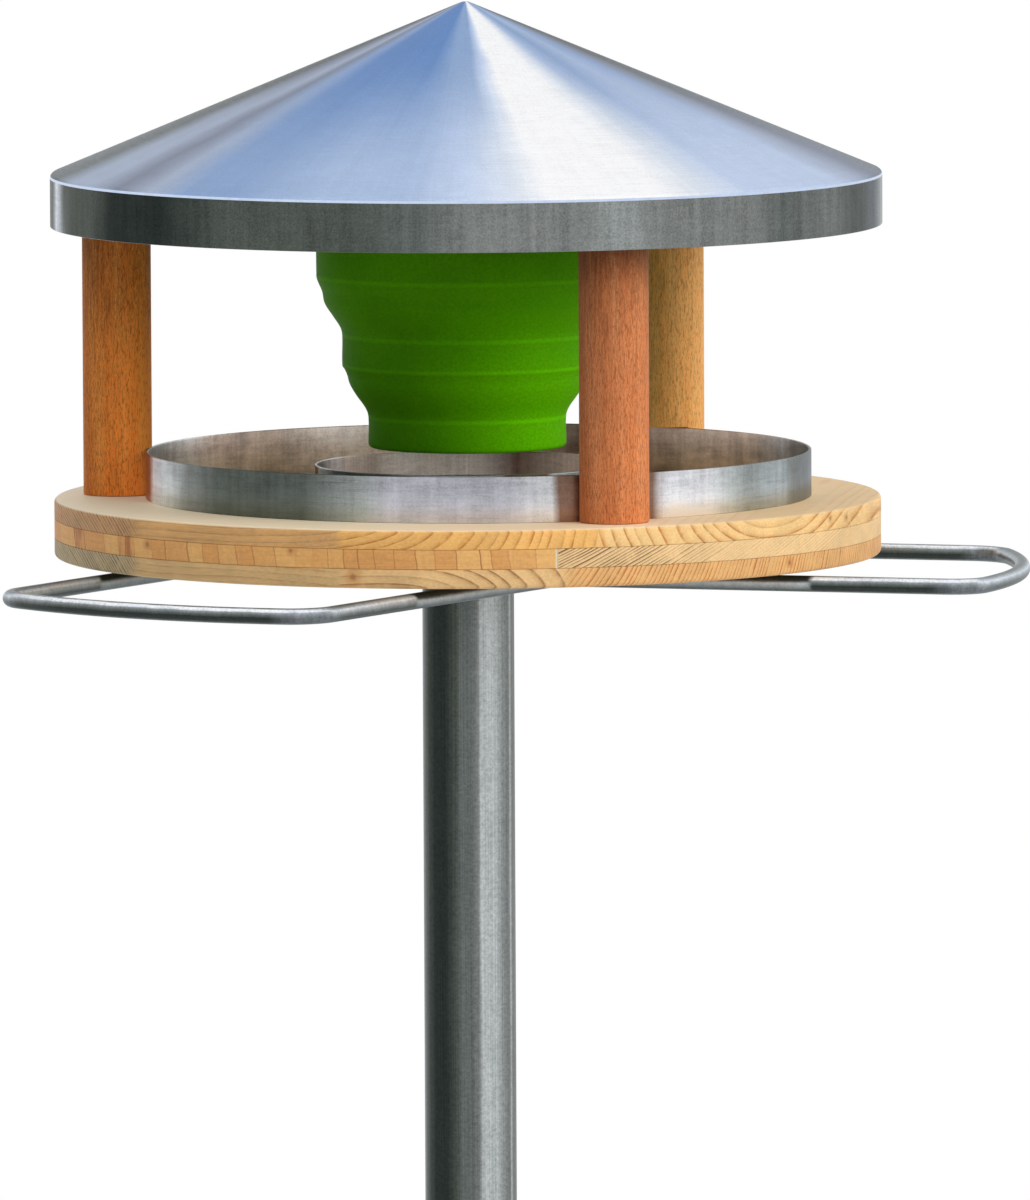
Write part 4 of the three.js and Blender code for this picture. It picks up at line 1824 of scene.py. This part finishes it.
@dataclass
class Columns:
    """The three beech columns with their screws."""

    sides: int = 96
    ring_sides: int = 256
    end_round: float = 0.6 * MM
    ring_gap: float = 0.3 * MM

    def finishes(self) -> dict[str, BeechFinish]:
        """The finish of each column."""
        # Each column's heart, light and pore colours, which differ partly as beech does and partly by painted
        # light; its painted shade from foot (0) to head (1); and its painted shade across its sides.
        woods = {
            "column_front": (
                (linear(204, 120, 70), linear(220, 144, 94), linear(110, 52, 26)),
                ((0.0, 0.98), (0.25, 0.9), (0.6, 0.84), (0.78, 0.7), (0.9, 0.42), (1.0, 0.34)),
                0.16,
            ),
            "column_back": (
                (linear(248, 176, 100), linear(252, 196, 122), linear(150, 86, 38)),
                ((0.0, 1.0), (0.7, 0.98), (0.85, 0.94), (1.0, 0.8)),
                0.1,
            ),
            "column_left": (
                (linear(236, 134, 52), linear(250, 162, 76), linear(96, 42, 8)),
                ((0.0, 1.0), (0.3, 0.98), (0.45, 0.92), (0.6, 0.76), (0.8, 0.62), (1.0, 0.58)),
                0.36,
            ),
        }
        finishes = {}
        for node, (tones, shades, side_shade) in woods.items():
            centre = centre_of(f"{node}_top_screw")
            ends = floor_of(node), top_of(node)
            finishes[node] = BeechFinish(f"{node}_beech", *tones, shades, side_shade, centre, *ends)
        return finishes

    def build(self, shop: ScrewShop) -> None:
        """Builds and dresses the pieces.

        Args:
            shop: Where the screws are made.
        """
        ring_radius = radius_of("tray_ring") + self.ring_gap
        ring_centre = centre_of("tray_ring")
        foot_seats = screw_seats(FOOT_SCREW_NODES, upwards=True)
        top_seats = screw_seats(TOP_SCREW_NODES, upwards=False)
        for i, (node, finish) in enumerate(self.finishes().items()):
            low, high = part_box(node)
            centre = finish.centre.copy()
            centre.z = low.z
            radius = max(high.y - centre.y, centre.y - low.y)
            outline = puck_outline(radius, 0.0, high.z - low.z, self.end_round, self.end_round)
            column = lathe(f"{node}_dowel", outline, self.sides, centre)
            start = ring_centre - Vector((0.0, 0.0, 5 * MM))
            end = ring_centre.copy()
            end.z = top_of("tray_ring") + self.ring_gap
            cutters = [rod_cutter(ring_radius, start, end, self.ring_sides)]
            cutters += hole_cutters(FOOT_SCREW, foot_seats[i : i + 1], upwards=True)
            cutters += hole_cutters(TOP_SCREW, top_seats[i : i + 1], upwards=False)
            cut(column, cutters)
            dress(column, finish.material())
            fasten(column, Body.STAND, Slot.COLUMN_WOOD, node)
        shop.drive("column_foot_screws", FOOT_SCREW, foot_seats, UPSIDE_DOWN, FOOT_SCREW_NODES)
        shop.drive("column_top_screws", TOP_SCREW, top_seats, Euler(), TOP_SCREW_NODES)


@dataclass
class Tray:
    """The tray ring and the seed dish in it."""

    ring_sides: int = 256
    dish_sides: int = 192
    ring_wall: float = 1.2 * MM
    lower_edge: float = 0.2 * MM
    upper_edge: float = 0.45 * MM
    dish_wall: float = 1 * MM
    dish_corner: float = 4 * MM
    # Painted reflections in streaks round the ring, as the photo shows them on its front half, brown where the
    # beech columns are reflected.
    ring_streaks: Streaks = (
        (-180, Tone.MIST), (-150, Tone.PEWTER), (-122, Tone.MIST), (-96, Tone.SILVER), (-88, Tone.PEARL),
        (-86.5, Tone.RUST), (-80, Tone.RUST), (-76, Tone.BRIGHT), (-66, Tone.SILVER), (-60, Tone.GREY),
        (-50, Tone.OLIVE), (-36, Tone.OLIVE), (-31, Tone.OLIVE), (-20, Tone.PEWTER), (-15, Tone.MIST),
        (4, Tone.MIST), (12.8, Tone.PEARL), (13.6, Tone.BARK), (31, Tone.BARK), (33, Tone.BRIGHT),
        (42, Tone.BRIGHT), (48, Tone.SILVER), (54, Tone.PEWTER), (60, Tone.CELADON), (66, Tone.CELADON),
        (70, Tone.GREY), (86, Tone.STORM), (92, Tone.CELADON), (102, Tone.SILVER), (124, Tone.PEWTER),
        (152, Tone.MIST), (180, Tone.MIST),
    )
    # Painted reflections round the ring's inner side, which are warmer where the wood is reflected.
    inner_streaks: Streaks = (
        (-180, Tone.CHALK), (-152, Tone.CHALK), (-140, Tone.SAND), (-126, Tone.CHALK), (-118, Tone.WHITE),
        (-104, Tone.SILVER), (-60, Tone.PEARL), (-20, Tone.SILVER), (20, Tone.PEARL), (60, Tone.SILVER),
        (96, Tone.PEWTER), (112, Tone.PEARL), (124, Tone.SAND), (140, Tone.SAND), (160, Tone.BARK),
        (180, Tone.CHALK),
    )

    def build(self) -> None:
        """Builds and dresses the pieces."""
        radius = radius_of("tray_ring")
        centre = centre_of("tray_ring")
        height = top_of("tray_ring") - centre.z
        inner = radius - self.ring_wall
        corners = [
            Corner(inner, 0.0, self.lower_edge),
            Corner(radius, 0.0, self.lower_edge),
            Corner(radius, height, self.upper_edge),
            Corner(inner, height, self.upper_edge),
        ]
        ring = lathe("tray_ring_strip", rounded(corners, closed=True), self.ring_sides, centre)
        # The ring's steel takes painted reflections, and painted light towards its foot.
        steel = SteelFinish(
            "tray_steel", self.ring_streaks, centre=centre, waver=1.0, scratches=0.2, mottle=0.12,
            painted_foot_light=0.55,
        )
        inside = SteelFinish("tray_inner_steel", self.inner_streaks, centre=centre, waver=4.0, mottle=0.2)
        dress(ring, steel.material(), inside.material())
        paint_faces(ring, 1, lambda at, normal: normal.xy.dot((at - centre).xy) < 0)
        fasten(ring, Body.STAND, Slot.TRAY_STEEL, "tray_ring")
        self.build_dish()

    def build_dish(self) -> None:
        """Builds the seed dish."""
        radius = radius_of("seed_dish")
        centre = centre_of("seed_dish")
        height = top_of("seed_dish") - centre.z
        inner = radius - self.dish_wall
        outline = rounded(
            [
                Corner(0.0, 0.0),
                Corner(radius, 0.0, self.dish_corner),
                Corner(radius, height, self.upper_edge),
                Corner(inner, height, self.upper_edge),
                Corner(inner, self.dish_wall, self.dish_corner - self.dish_wall),
                Corner(0.0, self.dish_wall),
            ],
            steps=8,
        )
        dish = lathe("seed_dish_spun", outline, self.dish_sides, centre)
        # The dish takes the ring's painted reflections.
        steel = SteelFinish("dish_steel", self.ring_streaks, centre=centre)
        inside = SteelFinish("dish_inner_steel", self.inner_streaks, centre=centre)
        dress(dish, steel.material(), inside.material())
        paint_faces(dish, 1, lambda at, normal: normal.xy.dot((at - centre).xy) < 0 or normal.z > 0.5)
        fasten(dish, Body.DISH, Slot.TRAY_STEEL, "seed_dish")


@dataclass
class Silo:
    """The silicone silo and the steel carrier that it hangs in."""

    sides: int = 160
    top_radius: float = 65.4 * MM
    middle_radius: float = 54.3 * MM
    neck_radius: float = 43.1 * MM
    wall: float = 2.5 * MM
    lip_thickness: float = 3 * MM
    lip_edge: float = 0.9 * MM
    neck_height: float = 13.4 * MM
    lower_shoulder: float = 22.3 * MM
    middle_height: float = 13.4 * MM
    upper_shoulder: float = 25.7 * MM
    # The shoulders' shapes, in shares of their height and of their way out.
    upper_shares: Shares = ((0.13, 0.08), (0.33, 0.38), (0.54, 0.685), (0.74, 0.78), (0.9, 0.94))
    lower_shares: Shares = ((0.17, 0.12), (0.42, 0.47), (0.64, 0.72), (0.82, 0.82), (0.93, 0.92))

    def side_points(self, lip_floor: float) -> list[Vector]:
        """The points that the silo's side runs through, from its neck to its lip."""
        lower_floor = self.neck_height
        lower_top = lower_floor + self.lower_shoulder
        upper_floor = lower_top + self.middle_height
        upper_top = upper_floor + self.upper_shoulder
        points = [Vector((self.neck_radius, 2.6 * MM)), Vector((self.neck_radius, lower_floor))]
        for up, out in self.lower_shares:
            width = self.middle_radius - self.neck_radius
            points.append(Vector((self.neck_radius + width * out, lower_floor + self.lower_shoulder * up)))
        points += [Vector((self.middle_radius, lower_top)), Vector((self.middle_radius, upper_floor))]
        for up, out in self.upper_shares:
            width = self.top_radius - self.middle_radius
            points.append(Vector((self.middle_radius + width * out, upper_floor + self.upper_shoulder * up)))
        points += [Vector((self.top_radius, upper_top)), Vector((self.top_radius, lip_floor))]
        return points

    def smooth_side(self, lip_floor: float, steps: int = 6) -> list[Vector]:
        """The silo's side as a soft curve through its points.

        Args:
            lip_floor: Height of the lip's underside.
            steps: Steps between two points.

        Returns:
            The points of the curve.
        """
        points = self.side_points(lip_floor)
        curve = []
        for i in range(len(points) - 1):
            before, start = points[max(i - 1, 0)], points[i]
            end, after = points[i + 1], points[min(i + 2, len(points) - 1)]
            span = (end - start).length
            lead = (end - before).normalized() * span
            trail = (after - start).normalized() * span
            for step in range(steps):
                t = step / steps
                curve.append(
                    start * (2 * t**3 - 3 * t**2 + 1)
                    + lead * (t**3 - 2 * t**2 + t)
                    + end * (3 * t**2 - 2 * t**3)
                    + trail * (t**3 - t**2)
                )
        return [*curve, points[-1]]

    def build(self) -> None:
        """Builds and dresses the pieces."""
        floor, top = floor_of("silo"), top_of("silo")
        lip_floor = top - floor - self.lip_thickness
        lip_radius = radius_of("silo")
        side = self.smooth_side(lip_floor)
        rim = rounded(
            [
                Corner(self.neck_radius - self.wall, 2 * MM),
                Corner(self.neck_radius - self.wall, 0.0, 0.8 * MM),
                Corner(self.neck_radius, 0.0, 1.6 * MM),
                Corner(self.neck_radius, 2.2 * MM),
            ]
        )
        lip = rounded(
            [
                Corner(self.top_radius, lip_floor - 0.5 * MM),
                Corner(self.top_radius, lip_floor, 0.3 * MM),
                Corner(lip_radius, lip_floor, self.lip_edge),
                Corner(lip_radius, lip_floor + self.lip_thickness, self.lip_edge),
                Corner(self.top_radius - self.wall, lip_floor + self.lip_thickness, self.lip_edge),
                Corner(self.top_radius - self.wall, lip_floor - MM),
            ]
        )
        outer = [(point.x, point.y) for point in side if point.y < lip_floor - 0.6 * MM]
        inner = [(out - self.wall, up) for out, up in reversed(outer) if up < lip_floor - 1.2 * MM]
        outline = [*rim, *outer, *lip, *inner]
        silo = lathe("silo_moulded", outline, self.sides, Vector((0.0, 0.0, floor)))
        lower_top = self.neck_height + self.lower_shoulder
        upper_floor = lower_top + self.middle_height
        heights = (self.neck_height, lower_top, upper_floor, upper_floor + self.upper_shoulder)
        folds = tuple(floor + height for height in heights)
        dress(silo, SiliconeFinish("silo_silicone", floor, folds[-1], folds).material())
        fasten(silo, Body.SILO, Slot.SILO_SILICONE, "silo")
        steel = PlainMetalFinish("carrier_steel", Tone.PEWTER).material()
        keep_node("silo_carrier", steel)


@dataclass
class Roof:
    """The spun steel roof: a cone with a straight band below its fold."""

    sides: int = 288
    steps: int = 8
    rise: float = 74.7 * MM
    band_height: float = 22.7 * MM
    sheet: float = 1 * MM
    band_edge: float = 0.3 * MM
    fold_radius: float = 2.5 * MM
    tip_radius: float = 6 * MM
    # Painted reflections of sky and shade in streaks that fan out from the tip, as the photo shows them on the
    # front half.
    cone_streaks: Streaks = (
        (-180, Tone.SKY), (-158, Tone.WHITE), (-144, Tone.LAVENDER), (-124, Tone.DEEP_SKY),
        (-106, Tone.SKY), (-96, Tone.OLIVE), (-84, Tone.SHADE), (-78, Tone.OLIVE), (-70, Tone.DUSK),
        (-62, Tone.LAVENDER), (-57, Tone.DUSK), (-50, Tone.MID_SKY), (-42, Tone.DEEP_SKY),
        (-14, Tone.DEEP_SKY), (-5, Tone.MID_SKY), (3, Tone.MID_SKY), (7, Tone.PALE_SKY), (11, Tone.WHITE),
        (25, Tone.WHITE), (30, Tone.FROST), (36, Tone.SKY), (43, Tone.MID_SKY), (54, Tone.SKY),
        (63, Tone.MID_SKY), (71, Tone.DUSK), (79, Tone.OLIVE), (88, Tone.SHADE), (108, Tone.SKY),
        (122, Tone.DEEP_SKY), (146, Tone.MID_SKY), (164, Tone.LAVENDER), (180, Tone.SKY),
    )
    # Painted reflections on the cone near its fold, which are paler.
    rim_streaks: Streaks = (
        (-180, Tone.PALE_SKY), (-160, Tone.WHITE), (-144, Tone.LAVENDER), (-126, Tone.SKY),
        (-106, Tone.FROST), (-96, Tone.SLATE), (-78, Tone.SLATE), (-70, Tone.LAVENDER),
        (-63, Tone.LAVENDER), (-56, Tone.DUSK), (-49, Tone.LAVENDER), (-42, Tone.MID_SKY),
        (-34, Tone.MID_SKY), (-20, Tone.SKY), (-8, Tone.SKY), (0, Tone.PALE_SKY), (7, Tone.FROST),
        (12, Tone.WHITE), (28, Tone.WHITE), (35, Tone.FROST), (42, Tone.PALE_SKY), (63, Tone.PALE_SKY),
        (71, Tone.LAVENDER), (78, Tone.DUSK), (86, Tone.STORM), (96, Tone.SLATE), (106, Tone.PALE_SKY),
        (122, Tone.SKY), (146, Tone.MID_SKY), (164, Tone.LAVENDER), (180, Tone.PALE_SKY),
    )
    # Painted reflections in streaks round the straight band.
    band_streaks: Streaks = (
        (-180, Tone.GREY), (-150, Tone.PEWTER), (-120, Tone.SLATE), (-96, Tone.GREY), (-81, Tone.SLATE),
        (-79, Tone.FROST), (-77, Tone.FROST), (-74, Tone.SLATE), (-70, Tone.OLIVE), (-62, Tone.OLIVE),
        (-58, Tone.NIGHT), (-46, Tone.NIGHT), (-34, Tone.OLIVE), (-14, Tone.OLIVE), (-5, Tone.SLATE),
        (2, Tone.GREY), (14, Tone.GREY), (21, Tone.PEWTER), (28, Tone.GREY), (42, Tone.GREY),
        (49, Tone.SLATE), (61, Tone.GREY), (65, Tone.SLATE), (71, Tone.SLATE), (78, Tone.STORM),
        (82, Tone.SILVER), (87, Tone.PEARL), (112, Tone.GREY), (140, Tone.SLATE), (162, Tone.PEWTER),
        (180, Tone.GREY),
    )

    def build(self) -> None:
        """Builds and dresses the piece."""
        radius = radius_of("roof")
        band_floor = floor_of("roof")
        corner = band_floor + self.band_height
        tip = corner + self.rise
        slope = math.atan2(self.rise, radius)
        drop = self.sheet / math.cos(slope)
        inner = radius - self.sheet
        inner_corner = corner - drop + self.sheet * math.tan(slope)
        outline = rounded(
            [
                Corner(0.0, tip - drop),
                Corner(inner, inner_corner, self.fold_radius - self.sheet),
                Corner(inner, band_floor, self.band_edge),
                Corner(radius, band_floor, self.band_edge),
                Corner(radius, corner, self.fold_radius),
                Corner(0.0, tip),
            ],
            steps=self.steps,
        )
        outline = self.round_tip(outline, slope, tip)
        roof = lathe("roof_spun", outline, self.sides)
        cone = SteelFinish(
            "roof_steel", self.cone_streaks, self.rim_streaks, grain=0.04, line_depth=0.02, mottle=0.02,
            speckle=0.05, edge=(0.74, 0.76, 0.8, 1.0),
        )
        band = SteelFinish(
            "roof_band_steel", self.band_streaks, grain=0.06, line_depth=0.14, speckle=0.2, mottle=0.08,
            edge=grey(0.62),
        )
        inside = PlainMetalFinish("roof_inside_steel", Tone.PEWTER)
        # A painted highlight along the fold, in a pale tone.
        fold = PlainMetalFinish("roof_fold_steel", Tone.PALE_SKY)
        dress(roof, cone.material(), band.material(), inside.material(), fold.material())
        fold_start, fold_top = corner - 0.75 * self.fold_radius, corner - 0.3 * self.fold_radius
        paint_faces(roof, 1, lambda at, normal: at.z < fold_top)
        # The faces on the fold take the painted highlight.
        paint_faces(roof, 3, lambda at, normal: fold_start < at.z < fold_top)
        paint_faces(roof, 2, lambda at, normal: normal.xy.dot(at.xy) < 0 or normal.z < -0.5)
        fasten(roof, Body.ROOF, Slot.ROOF_STEEL, "roof")

    def round_tip(self, outline: Outline, slope: float, tip: float) -> Outline:
        """Rounds the tip on both sides of the sheet.

        Args:
            outline: The outline with a sharp tip.
            slope: The cone's slope.
            tip: Height of the sharp tip outside.

        Returns:
            The outline with round tips.
        """
        centre = tip - self.tip_radius / math.cos(slope)

        def arc(ball: float) -> Outline:
            """The arc of one side, from the axis outwards."""
            return [
                (ball * math.sin(slope * i / self.steps), centre + ball * math.cos(slope * i / self.steps))
                for i in range(self.steps + 1)
            ]

        inside = arc(self.tip_radius - self.sheet)
        outside = arc(self.tip_radius)
        return [*inside, *outline[1:-1], *reversed(outside)]


@dataclass(frozen=True)
class Lamp:
    """A soft round lamp that points at the object. Polished steel shows the white room, not the lamp.

    Its direction is seen from the object, and its power is in watts.
    """

    name: str
    azimuth: float
    elevation: float
    distance: float
    size: float
    power: float

    def hang(self, target: Vector) -> None:
        """Hangs the lamp.

        Args:
            target: What it points at.
        """
        lamp = bpy.data.lights.new(self.name, "AREA")
        lamp.shape = "DISK"
        lamp.size = self.size
        lamp.energy = self.power
        level = self.distance * math.cos(math.radians(self.elevation))
        holder = bpy.data.objects.new(self.name, lamp)
        rise = self.distance * math.sin(math.radians(self.elevation))
        holder.location = target + around(level, self.azimuth, rise)
        holder.rotation_mode = "QUATERNION"
        holder.rotation_quaternion = (target - holder.location).to_track_quat("-Z", "Y")
        holder.visible_glossy = False
        bpy.context.scene.collection.objects.link(holder)


@dataclass
class Studio:
    """The floor, the lights and the camera."""

    floor_radius: float = 3.2
    floor_sides: int = 96
    fade_start: float = 0.5
    lens: float = 547.2
    camera_distance: float = 7.917
    aside: float = 0.0204
    eye_above_board: float = 0.690
    target_below_board: float = 0.0208
    roll: float = -0.27
    room_light: float = 0.48
    plate_shares: tuple[float, float] = (0.94, 0.96)
    lamps: tuple[Lamp, ...] = (
        Lamp("key", azimuth=54, elevation=34, distance=3.5, size=4.0, power=88.0),
        Lamp("fill", azimuth=-46, elevation=66, distance=4.0, size=4.0, power=42.0),
        Lamp("back", azimuth=168, elevation=45, distance=3.8, size=4.0, power=30.0),
    )

    def build(self) -> None:
        """Builds the stage and the camera."""
        self.build_floor()
        self.build_world()
        target = Vector((0.0, 0.0, top_of("board_top_ply")))
        for lamp in self.lamps:
            lamp.hang(target)
        self.build_camera()

    def build_floor(self) -> None:
        """Builds the round floor, which fades into the white around it."""
        top, bottom = -0.2 * MM, -2 * MM
        outline = [(0.0, bottom), (self.floor_radius, bottom), (self.floor_radius, top), (0.0, top)]
        floor = lathe("studio_floor", outline, self.floor_sides)
        graph = Graph.of_material("floor_paint")
        x, y, _ = graph.split(graph.place)
        distance = graph.reach(x, y)
        fade = graph.between(distance, self.fade_start, self.floor_radius * 0.8)
        paper = graph.add("BsdfDiffuse", {"Color": linear(238, 238, 238)}).outputs[0]
        white = graph.add("Emission", {"Color": grey(1.0), "Strength": 1.0}).outputs[0]
        share = graph.times(fade, self.seen_ray(graph))
        start, end = (share_out * radius_of("foot_plate") for share_out in self.plate_shares)
        under_plate = graph.between(distance, start, end, 1.0, 0.0)
        share = graph.math("MAXIMUM", share, under_plate)
        mixed = graph.add("MixShader", {0: share, 1: paper, 2: white}).outputs[0]
        clear = graph.add("BsdfTransparent", {"Color": grey(1.0)}).outputs[0]
        upwards = graph.split(graph.add("NewGeometry", {}).outputs["True Normal"])[2]
        below = graph.between(upwards, -0.5, 0.5, 1.0, 0.0)
        shown = graph.add("MixShader", {0: below, 1: mixed, 2: clear}).outputs[0]
        graph.add("OutputMaterial", {"Surface": shown})
        dress(floor, graph.owner)

    @staticmethod
    def seen_ray(graph: Graph) -> Socket:
        """Whether a ray comes from the camera, a reflection or clear material, as 1 or 0."""
        rays = graph.add("LightPath", {}).outputs
        seen = graph.math("MAXIMUM", rays["Is Camera Ray"], rays["Is Glossy Ray"])
        return graph.math("MAXIMUM", seen, rays["Is Transmission Ray"])

    def build_world(self) -> None:
        """Builds the world: white where it is seen, and a softer light on the object."""
        world = bpy.data.worlds.new("studio_world")
        bpy.context.scene.world = world
        graph = Graph(world)
        soft = graph.add("Background", {"Color": grey(1.0), "Strength": self.room_light}).outputs[0]
        white = graph.add("Background", {"Color": grey(1.0), "Strength": 1.0}).outputs[0]
        shown = graph.add("MixShader", {0: self.seen_ray(graph), 1: soft, 2: white}).outputs[0]
        graph.add("OutputWorld", {"Surface": shown})

    def build_camera(self) -> None:
        """Builds the camera where the photo was taken from."""
        azimuth = math.radians(PHOTO_AZIMUTH)
        right = Vector((math.cos(azimuth), math.sin(azimuth), 0.0))
        board = floor_of("board_bottom_ply")
        place = around(self.camera_distance, PHOTO_AZIMUTH, board + self.eye_above_board) + right * self.aside
        target = right * self.aside + Vector((0.0, 0.0, board - self.target_below_board))
        camera = bpy.data.cameras.new("photo_camera")
        camera.lens = self.lens
        camera.clip_end = 200.0
        holder = bpy.data.objects.new("photo_camera", camera)
        holder.location = place
        holder.rotation_mode = "QUATERNION"
        look = (target - place).to_track_quat("-Z", "Y")
        holder.rotation_quaternion = look @ Quaternion((0.0, 0.0, 1.0), math.radians(self.roll))
        bpy.context.scene.collection.objects.link(holder)
        bpy.context.scene.camera = holder


def main() -> None:
    """Builds the bird table from its foot to its roof, and the studio round it."""
    logging.basicConfig(level=logging.INFO, format="%(name)s: %(message)s")
    Studio().build()
    shop = ScrewShop()
    FootAndPost().build(shop)
    Perches().build(shop)
    Board().build()
    Columns().build(shop)
    Tray().build()
    Silo().build()
    Roof().build()
    view = bpy.context.scene.view_settings
    view.view_transform = "Standard"


if __name__ == "__main__":
    main()
